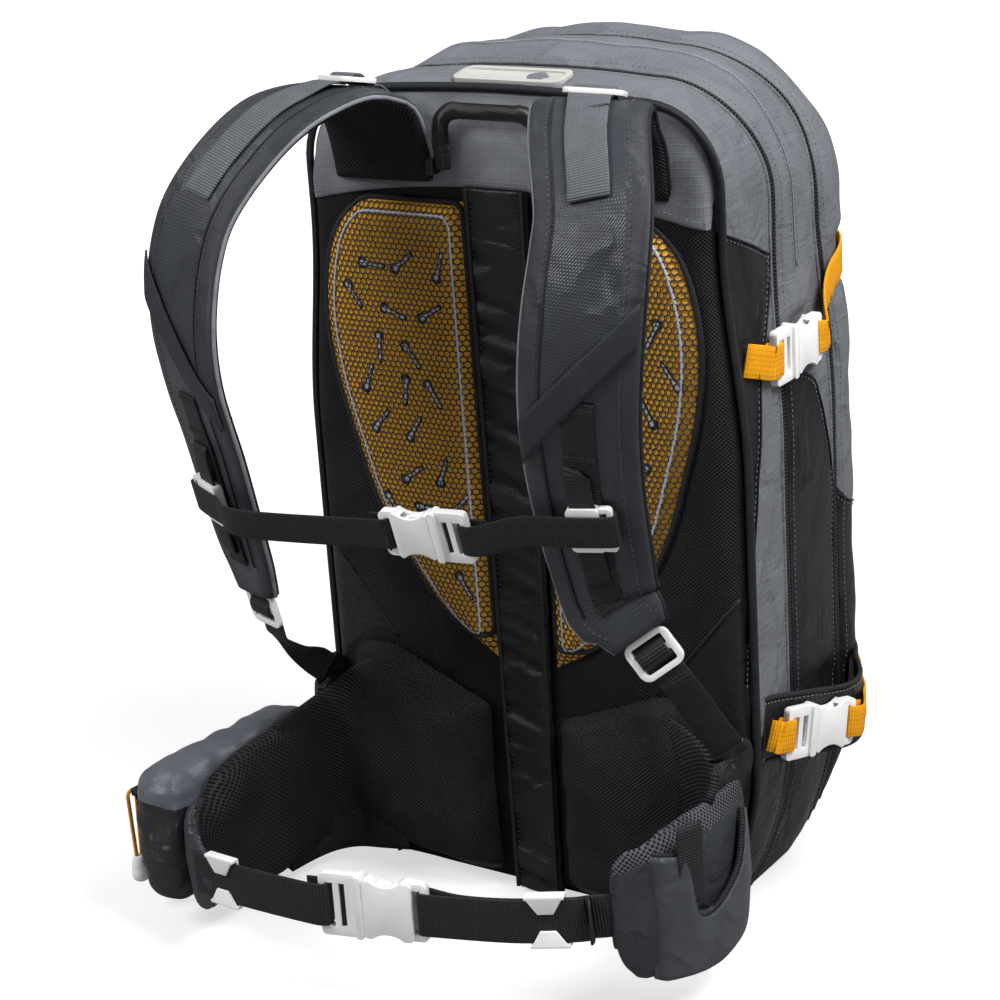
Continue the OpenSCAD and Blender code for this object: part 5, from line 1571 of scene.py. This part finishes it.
def shoulder_strap(side, hand):
    """A padded strap: twill face, lighter edge bands, mesh lining, piped edges and stitching."""
    node = "shoulder_strap_" + hand
    spine = Spine(node_rings(node)[0], (1, 0, 0), start=np.array([80 * side, -91.5, 464]))
    s = spine.places(5.0)
    middle, _, across, out, half, thick = spine.at(s)
    w = np.concatenate([STRAP_FACE, STRAP_FACE[-2:0:-1]])
    h = (1 - np.abs(w) ** 4) ** 0.25
    h[len(STRAP_FACE):] *= -1
    rings = section(middle, across, out, half[:, None] * w, thick[:, None] * h)
    fold = ripple(rings, 30, 2.2) * 0.8 + ripple(rings, 13, 6.1) * 0.35
    slides = np.mean([c[2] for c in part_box("sternum_slider_" + hand)]) / MM
    calm = ease((np.abs(middle[:, 2:] - slides) - CALM_REACH) / CALM_FADE)
    fold = fold * calm - 0.6 * (1 - calm)
    rings = rings + out[:, None] * (fold * (1 - np.abs(w) ** 3))[..., None]
    sides = len(STRAP_FACE) - 1
    pick = [int(abs(STRAP_FACE[k] + STRAP_FACE[k + 1]) > 1.3) for k in range(sides)] + [2] * (len(w) - sides)
    strap = loft(node + "_cloth", rings, ["slate_twill", "strap_band", "strap_lining"], pick)
    settle(strap, "strap_twill", node, pad=0.7)
    trim, sewn = [], []
    for edge in (-1.0, 1.0):
        path, _ = spine.on_face(s, edge)
        trim.append(tube(node + "_piping", path, 1.3, "pale_piping" if edge == -side else "piping"))
        sewn.append(spine.on_face(s[2:-2], edge * 0.7, 0.3))
    fold_line, _ = spine.on_face(s[:-5], side * -0.62, 0.1)
    trim.append(tube(node + "_piping", fold_line, 0.7, "piping", 6))
    settle(join(trim, node + "_piping"), "strap_twill")
    stitches(node + "_stitching", sewn, "strap_twill", "slate_thread")
    strap_strips(hand, spine)


def strap_strips(hand, spine):
    """The slanting webbing strip over the strap, and the sewn-down strip that carries the rail."""
    from_s, to_s = DIAGONALS[hand]
    w = np.linspace(-0.96, 0.96, 41)
    lean = from_s + (to_s - from_s) * (w + 1) / 2
    s = (lean[:, None] + 0.24 * np.linspace(1, -1, 7)) * ROW_SHARE
    grid, _ = spine.on_face(s.ravel(), np.repeat(w, 7), 1.2)
    settle(sheet("strap_slant_" + hand, grid.reshape(41, 7, 3), "strip_webbing", 1.2), "strap_twill")
    s = np.linspace(*DAISY[hand], 60) * ROW_SHARE
    path, out = spine.on_face(s, 0.02, 0.8)
    strip = ribbon("strap_strips_" + hand, path, np.cross(tangents(path), out), 9.5, 0.7, "black_webbing")
    settle(strip, "black_webbing")
    tacks = []
    for place in np.linspace(s[2], s[-3], 5):
        near, way = spine.on_face(np.full(12, place), np.linspace(-0.26, 0.26, 12), 1.7)
        tacks += [(near + spine.at([place])[1][0] * 1.1 * k, way) for k in (-1, 0, 1)]
    stitches("strap_bartacks_" + hand, tacks, "black_webbing", "black_thread", 1.4, 0.5, 0.9)


def strap_hardware():
    """Load lifters, lower webbing, rails and ladder locks."""
    for node, finish in (("load_lifter_webbing", "grey_webbing"), ("strap_webbing", "black_webbing"),
                         ("sternum_rails", "black_webbing")):
        web_piece(node, finish, wide=(1, 0, 0))
    for node in ("load_lifter_locks", "strap_locks"):
        moulded(node, radius=0.6)
    tabs = []
    for rings in node_rings("strap_webbing"):
        spine = Spine(rings, (1, 0, 0), start=np.array([0, -300, 300]))
        foot, across, run = spine.middle[-1], spine.across[-1], unit(spine.middle[-1] - spine.middle[-2])
        root = np.array([np.sign(foot[0]) * 147, -106, 104])
        share = np.linspace(0, 1, 24)
        path = curve([foot - run * 10, foot, (foot + root) / 2, root], share * 3)
        lead = across * (1 - share[:, None]) + np.array([0, np.sign(across[1]), 0]) * share[:, None]
        tabs.append(ribbon("web_tabs", path, lead, 10.5 + 8 * share, 1.5, "black_satin"))
    settle(join(tabs, "web_tabs"), "black_trim")


# ---- buckles and webbing

def sternum_strap():
    """Chest strap: sliders, webbing and the two halves of its buckle."""
    for node in ("sternum_slider_left", "sternum_slider_right", "sternum_female", "sternum_male"):
        moulded(node)
    slot_webbing("sternum_male", "sternum_release")
    web_piece("sternum_webbing_left", "black_webbing")
    stretchy("sternum_webbing_right", "sternum", "sternum_plug", "sternum_slider_right", "sternum_male")


def spanning(obj, node, slot, bodies, start, end, shares):
    """Webbing that takes up the play between two bodies, over a share of the way from start to end."""
    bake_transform(obj, *bodies, *(start + (end - start) * share for share in shares))
    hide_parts(node)


def stretchy(node, fixed, moving, fixed_end, moving_end):
    """Black webbing between a piece on a fixed body and one on a moving body."""
    obj = webbing_of(node, "black_webbing")
    points = coords(obj)
    near = []
    for end in (fixed_end, moving_end):
        centre = sum((Vector(c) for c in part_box(end)), Vector()) / 2
        near.append(Vector(points[np.linalg.norm(points - np.array(centre), axis=1).argmin()]))
    spanning(obj, node, "black_webbing", (fixed, moving), *near, (0.12, 0.88))


def slot_webbing(node, release):
    """Webbing threaded through the second slot of a buckle's plug."""
    pull = unit(joint(release)["axis"])
    points = node_points(node)[0]
    reach = points @ pull
    end = points[reach > reach.max() - 0.5]
    centre = end.mean(axis=0)
    wide = np.linalg.svd(end - centre, full_matrices=False)[2][0]
    path = centre - pull * np.linspace(17.5, 11.5, 5)[:, None]
    half = np.abs((points - centre) @ wide).max() - 4.5
    web = ribbon(node + "_webbing", path, wide, half, 1.0, "black_webbing")
    settle(web, "black_webbing", body=body_of(node))


def waist_belt():
    """Waist webbing, its keepers and the large buckle."""
    for node in ("waist_female", "waist_male"):
        moulded(node, radius=0.6)
    slot_webbing("waist_male", "waist_release")
    moulded("waist_keepers")
    web_piece("waist_webbing_right", "black_webbing")
    stretchy("waist_webbing_left", "pack", "waist_plug", "hip_wing_left", "waist_male")


def side_straps():
    """Orange compression straps with their buckles, over padded ski loops."""
    ski_loops()
    web_piece("compression_rear_webbing", "orange_webbing")
    for strap in ("upper_left", "upper_right", "lower_left", "lower_right"):
        female, web = "compression_female_" + strap, "compression_webbing_" + strap
        moulded(female)
        obj = webbing_of(web, "orange_webbing")
        points = coords(obj)
        order = points[:, 1].argsort()
        ends = points[order[:8]].mean(axis=0), points[order[-8:]].mean(axis=0)
        buckle = np.mean(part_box(female), axis=0)
        moving, fixed = sorted(ends, key=lambda p: np.linalg.norm(p - buckle))
        spanning(obj, web, "orange_webbing", ("pack", "compression_" + strap), fixed, moving, (0.25, 0.85))
    moulded("compression_males")


def ski_loops():
    """Padded bands that stand off the bag's sides, bound along both edges."""
    pads, binding, sewn = [], [], []
    w = np.linspace(-1, 1, 13)
    h = (1 - np.abs(w) ** 6) ** (1 / 6)
    ring_w, ring_h = np.concatenate([w, w[-2:0:-1]]), np.concatenate([h, -h[-2:0:-1]])
    for rings in node_rings("ski_loops"):
        spine = Spine(rings, UP)
        middle, _, across, out, half, thick = spine.at(spine.places(3.0))
        puff = 1.0 + 0.35 * ripple(middle, 16, 3.3)
        rings = section(middle, across, out, half[:, None] * ring_w, (thick * puff)[:, None] * ring_h)
        pads.append(loft("ski_loop_pads", rings, "black_satin"))
        outer = np.sign(middle[:, 0].mean()) * np.sign(out[:, 0].mean()) * out
        for edge in (-1, 1):
            path = middle + across * (half * edge * 0.985)[:, None]
            binding.append(tube("ski_loop_binding", path, 1.7, "black_webbing"))
            sewn.append((middle + across * (half * edge * 0.86)[:, None] + outer * thick[:, None], outer))
    settle(join(pads, "ski_loop_pads"), "black_trim", "ski_loops", pad=0.5)
    settle(join(binding, "ski_loop_binding"), "black_trim")
    stitches("ski_loop_stitching", sewn, "black_trim")


# ---- hip belt

# Rounding of a wing's end, and the height of the seam round the pocket; above it the pocket's cloth is painted lighter,
# painted light on its lit top
WING_ROUND, POCKET_LIT_SEAM = 20, 90


def hip_wing(hand):
    """A stuffed hip wing: cloth outside, mesh against the hip, and on the right wing a mesh rim along the top."""
    node = "hip_wing_" + hand
    spine = Spine(node_rings(node)[0], UP, start=np.array([0, -93.4, 64]))
    obj = stuffed(node, ["wing_cloth", "wing_mesh", "rim_mesh"], lambda p: p[:, 1] > -98, cap=6.0)
    middle, run, _, out, half, _ = spine.at(np.linspace(0, spine.last, 160))
    far = far_along(middle)
    out = out if hand == "left" else -out

    def lie(points):
        """Nearest row, way along the wing, and offset to its outer side."""
        k = np.array([np.linalg.norm(middle[:, :2] - p[:2], axis=1).argmin() for p in points])
        off = points - middle[k]
        return k, far[k] + np.sum(off * run[k], axis=1), np.sum(off * out[k], axis=1)

    points = coords(obj) / MM
    k, along, _ = lie(points)
    left = np.clip(far[-1] - along, 0, WING_ROUND)
    round_off = (half[k] - WING_ROUND + np.sqrt(WING_ROUND ** 2 - (WING_ROUND - left) ** 2)) / half[k]
    points[:, 2] = middle[k, 2] + (points[:, 2] - middle[k, 2]) * round_off
    move_to(obj, points * MM)
    crumple(obj, 22, 1.4, 5.1)
    flat_uv(obj, lambda p: lie(p / MM)[1] * MM, UP)

    def choose(centre):
        k, _, offset = lie(centre)
        high = (centre[:, 2] - middle[k, 2]) / half[k]
        inner = offset < (3.0 if hand == "left" else 0.0)
        return np.where((high > 0.72) & (hand == "right") & (offset > -7), 2, inner)

    pick_faces(obj, choose)
    settle(obj, "shiny_black_fabric", node, pad=0.6)


def hip_pocket():
    """The left wing's stuffed pocket, with its zip's tape, coils and lips."""
    obj = stuffed("hip_pocket", ["black_satin", "pocket_twill"], cap=4.0, shrink=2.0,
                  pin=lambda p: (p[:, 1] > -108) | ((np.abs(p[:, 2] - 84) < 9) & (p[:, 0] < -185)))
    crumple(obj, 15, 1.9, 3.7, (0.25, 1.3, 0.8), math.radians(22))
    crumple(obj, 8, 0.9, 8.2, (0.3, 1.2, 0.9), math.radians(30))
    flat_uv(obj, (0.1, 1, 0), (0.3, 0, 1))
    # Faces above the seam's height take the lighter twill, painted light on the lit top; faces below take the black
    # satin
    pick_faces(obj, lambda centre: centre[:, 2] > POCKET_LIT_SEAM)
    settle(obj, "shiny_black_fabric", "hip_pocket", pad=0.5)
    web_piece("hip_zip", "zip_tape", "black_trim")
    spine = Spine(node_rings("hip_zip")[0], UP)
    middle, _, _, out, _, thick = spine.at(spine.places(3.0))
    away = out * np.sign(-out[:, :1])
    zip_coils("hip_zip_coils", middle + away * (thick + 0.35)[:, None], away, 0.9)
    lips = [tube("hip_zip_lips", middle + away * 0.6 + (0, 0, k * 5.6), 1.5, "piping") for k in (-1, 1)]
    settle(join(lips, "hip_zip_lips"), "black_trim")


def zip_sliders():
    """Metal sliders of the three zips."""
    for node in ("hip_zip_slider", "main_zip_slider", "front_zip_slider"):
        moulded(node, "zip_metal", 0.5)


PULL_HALF, PULL_LENGTH, CORD_WIDE, BULB_LONG = 3.4, 50.0, 2.6, 18.0
# Half outline of the bulb: radius in millimetres and height as a share of its length
BULB = [(0.4, .5), (3.4, .5), (5, .25), (6, -.17), (5, -.42), (2.5, -.5), (0.4, -.5)]


def zip_pull():
    """Orange cord loop through the slider's eye, with a white moulded bulb at its end."""
    swing = joint("pull_swing")
    top = np.array(swing["pos_m"], float) / MM
    run = unit(swing["axis"])

    def hung(share, z):
        return top + run * PULL_HALF * share + np.array([0, 0, z])

    bow = [hung(math.cos(k), PULL_HALF * (math.sin(k) - 1)) for k in np.linspace(0, math.pi, 13)]
    path = even(np.vstack([[hung(0.6, 2 - PULL_LENGTH)], bow, [hung(-0.6, 2 - PULL_LENGTH)]]), 1.5)
    body = body_of("hip_zip_pull")
    bulb = zip_bulb(top, body)
    loop = tube("zip_pull_cord", path, CORD_WIDE / 2, "orange_cord", 10)
    settle(loop, "orange_cord", "hip_zip_pull", body=body)


def zip_bulb(top, body):
    """Turned bulb with a ring round its waist."""
    outline = curve(BULB, np.linspace(0, len(BULB) - 1, 31))
    a = np.linspace(0, TAU, 28, endpoint=False)
    centre = top + np.array([0, 0, 4 - PULL_LENGTH - BULB_LONG / 2])
    groove = 1 - 0.09 * np.exp(-((outline[:, 1] - 0.02) / 0.05) ** 2)
    rings = [centre + xyz(r * g * np.cos(a), r * g * np.sin(a), z * BULB_LONG) for (r, z), g in zip(outline, groove)]
    return settle(loft("zip_pull_bulb", rings, "white_plastic"), "white_plastic", body=body)


# Rows of the holster's wall: x, y, lower and upper z. The strip stands at one of the finer rows
HOLSTER = [(158, -111, 58, 104), (161.5, -117, 46, 96), (165, -130, 34, 76), (163.5, -149, 27, 62),
           (160, -162, 25, 58), (157, -170, 25, 66), (154.5, -175, 25, 98), (147, -185, 25, 104),
           (141.5, -190.5, 26, 104)]
STRIP_ROW = 40


def gear_holster():
    """Open gear pouch on the right wing: a bowed wall with a bound mouth, a floor and a sewn strip."""
    rows = curve(HOLSTER, np.linspace(0, len(HOLSTER) - 1, 60))
    run = tangents(np.pad(rows[:, :2], ((0, 0), (0, 1))))
    out = xyz(-run[:, 1], run[:, 0], 0)
    v = np.linspace(0, 1, 22)
    grid = wall(rows, v)
    bow = np.sin(v * math.pi) * np.sin(np.linspace(0, math.pi, 60))[:, None] ** 0.5
    flush = ease((np.linspace(1, 0, 60) - 0.01) / 0.12)[:, None]
    push = (2.2 * bow + 1.1 * ripple(grid, 17, 7.7) * bow + 1.2) * flush - 2.5 * (1 - flush)
    grid += out[:, None] * push[..., None]
    cloth_wall = sheet("holster_wall", grid[:, ::-1] if out[30, 0] > 0 else grid, "holster_twill", 2.4)
    flat_uv(cloth_wall, (0, 1, 0), UP)
    base = node_copy("gear_holster", "holster_floor", "holster_twill")
    with mesh_work(base) as cut:
        bmesh.ops.remove_doubles(cut, verts=cut.verts, dist=1e-6)
        keep = min(islands(cut), key=lambda verts: max(v.co.z for v in verts) - min(v.co.z for v in verts))
        bmesh.ops.delete(cut, geom=[v for v in cut.verts if v not in keep], context="VERTS")
    flat_uv(base, (1, 0, 0), (0, 1, 0))
    settle(join([cloth_wall, base], "holster_cloth"), "shiny_black_fabric", "gear_holster")
    settle(tube("holster_binding", grid[:, -1] - out * 1.2, 2.0, "black_webbing"), "black_trim")
    root = grid[STRIP_ROW, -1] + out[STRIP_ROW] * 1.2
    strip = np.linspace(root - UP * 9, root + UP * 42, 14)
    settle(ribbon("holster_strip", strip, run[STRIP_ROW], 9, 0.7, "black_webbing"), "black_webbing")
    stitches("holster_stitching", [(grid[:, k] + out * 0.25, out) for k in (-3, 2)], "shiny_black_fabric")


def islands(work):
    """The connected sets of points of a bmesh."""
    left, sets = set(work.verts), []
    while left:
        stack, found = [next(iter(left))], set()
        while stack:
            v = stack.pop()
            if v not in found:
                found.add(v)
                stack.extend(e.other_vert(v) for e in v.link_edges)
        sets.append(found)
        left -= found
    return sets


def inner_parts():
    """Finishes of the pieces inside the bag, whose CAD form is right as it is."""
    for node, finish in (("frame_sheet", "frame_plastic"), ("frame_stay", "stay_aluminium"),
                         ("divider_panel", "lining_plain")):
        mesh = frame["nodes"][node].data
        mesh.materials.clear()
        mesh.materials.append(material(finish))


# ---- stage

# The photograph's camera: what it looks at in metres, its angles in degrees and its distance
AIM = (-0.076, 0.0, 0.228)
AZIMUTH, ELEVATION, ROLL, DISTANCE = 34.5, 19.3, -3.8, 1.65
# Lamps: name, place, aim, size and power
LAMPS = (("key", (-1.6, -1.9, 2.3), (0, -0.1, 0.3), 1.2, 56),
         ("fill", (1.2, -0.1, 1.85), (0, 0, 0.35), 1.0, 43),
         ("top", (0.5, 1.4, 2.2), (0, 0, 0.4), 1.4, 5))
FLOOR_HALF, FLOOR_Z = 6000, -0.6
SURROUND_LIGHT = 0.24
LENS, SENSOR = 90, 36


def set_stage():
    """White floor and surround, three soft lamps, and the photograph's camera."""
    scene = bpy.context.scene
    scene.view_settings.view_transform = "Standard"
    corners = [(x * FLOOR_HALF, y * FLOOR_HALF, FLOOR_Z) for x, y in ((-1, -1), (1, -1), (1, 1), (-1, 1))]
    floor = mesh_object("floor", corners, [(0, 1, 2, 3)], flat=True)
    floor.data.materials.append(floor_material())
    scene.world = bpy.data.worlds.new("studio")
    scene.world.use_nodes = True
    tree = scene.world.node_tree
    ground = tree.nodes["Background"]
    path = add(tree, "ShaderNodeLightPath")
    seen = Value(tree, path.outputs["Is Camera Ray"]).calc("MAXIMUM", path.outputs["Is Transmission Ray"])
    strength = seen.node("ShaderNodeMapRange", {"Value": seen, "To Min": SURROUND_LIGHT, "To Max": 1.0})
    ground.inputs["Color"].default_value = (1, 1, 1, 1)
    tree.links.new(strength.socket, ground.inputs["Strength"])
    for name, place, aim, size, power in LAMPS:
        lamp = bpy.data.lights.new(name, "AREA")
        lamp.shape, lamp.size, lamp.energy = "DISK", size, power
        obj = put(name, lamp)
        obj.location = place
        obj.rotation_euler = (Vector(aim) - Vector(place)).to_track_quat("-Z", "Y").to_euler()
    az, el, roll = (math.radians(a) for a in (AZIMUTH, ELEVATION, ROLL))
    back = Vector((math.sin(az) * math.cos(el), -math.cos(az) * math.cos(el), math.sin(el)))
    right = Vector((math.cos(az), math.sin(az), 0))
    up = back.cross(right)
    turned = math.cos(roll) * right + math.sin(roll) * up, -math.sin(roll) * right + math.cos(roll) * up
    camera = put("camera", bpy.data.cameras.new("camera"))
    camera.data.lens, camera.data.sensor_width = LENS, SENSOR
    matrix = Matrix((*turned, back)).transposed().to_4x4()
    matrix.translation = Vector(AIM) + DISTANCE * back
    camera.matrix_world = matrix
    scene.camera = camera


def floor_material():
    """White floor that reads as white and still takes a soft shadow."""
    m = Finish("floor", False)
    seen = Value(m.tree, add(m.tree, "ShaderNodeLightPath").outputs["Is Camera Ray"])
    far = m.place.node("ShaderNodeVectorMath", {0: m.place}, "Value", operation="LENGTH")
    return m.done(seen.mix((0.3, 0.3, 0.3, 1), (0.5, 0.5, 0.5, 1)), 0.9,
                  **{"Emission Color": (1, 1, 1, 1), "Emission Strength": seen * far.ramp(0.5, 1.3).scaled(0.4, 0.62)})


# ---- operators and panel

class MakeStage(bpy.types.Operator):
    """Set the floor, lamps, surround and camera"""
    bl_idname = "pack.make_stage"
    bl_label = "Stage"

    def execute(self, context):
        set_stage()
        return {"FINISHED"}


class MakePull(bpy.types.Operator):
    """Make the pocket's cord pull and the zip sliders"""
    bl_idname = "pack.make_pull"
    bl_label = "Zip pull and sliders"

    def execute(self, context):
        zip_pull()
        zip_sliders()
        return {"FINISHED"}


class MakeBag(bpy.types.Operator):
    """Sew the bag's slabs, zips, panels and seams"""
    bl_idname = "pack.make_bag"
    bl_label = "Bag"

    def execute(self, context):
        bag = Bag()
        bag_slabs(bag)
        bag_zips(bag)
        bag_ends(bag)
        bag_seams(bag)
        return {"FINISHED"}


class MakeBack(bpy.types.Operator):
    """Pad the back: mesh, foam lobes, net, sleeve, lumbar pads and yoke"""
    bl_idname = "pack.make_back"
    bl_label = "Padded back"

    def execute(self, context):
        back = Back(Bag())
        back_panel(back)
        foam_lobes(back)
        spine_sleeve(back)
        lumbar_pads()
        hip_bridges()
        yoke(back)
        haul_handle()
        moulded("top_plate", "plate_plastic", 0.6)
        return {"FINISHED"}


class MakeStraps(bpy.types.Operator):
    """Sew both shoulder straps with their webbing and locks"""
    bl_idname = "pack.make_straps"
    bl_label = "Shoulder straps"

    def execute(self, context):
        for side, hand in SIDES:
            shoulder_strap(side, hand)
        strap_hardware()
        sternum_strap()
        return {"FINISHED"}


class MakeHip(bpy.types.Operator):
    """Stuff the hip wings and pocket, and fit the waist belt and gear holster"""
    bl_idname = "pack.make_hip"
    bl_label = "Hip belt"

    def execute(self, context):
        hip_wing("left")
        hip_wing("right")
        hip_pocket()
        gear_holster()
        waist_belt()
        return {"FINISHED"}


class MakeSides(bpy.types.Operator):
    """Fit the side straps, their buckles and the ski loops"""
    bl_idname = "pack.make_sides"
    bl_label = "Side straps"

    def execute(self, context):
        side_straps()
        return {"FINISHED"}


class MakeInside(bpy.types.Operator):
    """Finish the frame sheet, stay and divider inside the bag"""
    bl_idname = "pack.make_inside"
    bl_label = "Inner parts"

    def execute(self, context):
        inner_parts()
        return {"FINISHED"}


STEPS = (MakeStage, MakePull, MakeBag, MakeBack, MakeStraps, MakeHip, MakeSides, MakeInside)


class PackPanel(bpy.types.Panel):
    """Sizes, colours and steps of the ski backpack"""
    bl_idname = "VIEW3D_PT_ski_backpack"
    bl_label = "Ski backpack"
    bl_space_type = "VIEW_3D"
    bl_region_type = "UI"
    bl_category = "Backpack"

    def draw(self, context):
        column = self.layout.column()
        for holder in (context.scene.pack_sizes, context.scene.pack_colours):
            for name in holder.bl_rna.properties.keys():
                if name not in ("rna_type", "name"):
                    column.prop(holder, name)
        for step in STEPS:
            column.operator(step.bl_idname)


CLASSES = (PackSizes, PackColours, *STEPS, PackPanel)


def register():
    for cls in CLASSES:
        bpy.utils.register_class(cls)
    bpy.types.Scene.pack_sizes = bpy.props.PointerProperty(type=PackSizes)
    bpy.types.Scene.pack_colours = bpy.props.PointerProperty(type=PackColours)


def unregister():
    del bpy.types.Scene.pack_colours
    del bpy.types.Scene.pack_sizes
    for cls in reversed(CLASSES):
        bpy.utils.unregister_class(cls)


def main():
    register()
    bpy.ops.pack.make_stage()
    bpy.ops.pack.make_pull()
    bpy.ops.pack.make_bag()
    bpy.ops.pack.make_back()
    bpy.ops.pack.make_straps()
    bpy.ops.pack.make_hip()
    bpy.ops.pack.make_sides()
    bpy.ops.pack.make_inside()
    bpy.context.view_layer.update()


if __name__ == "__main__":
    main()
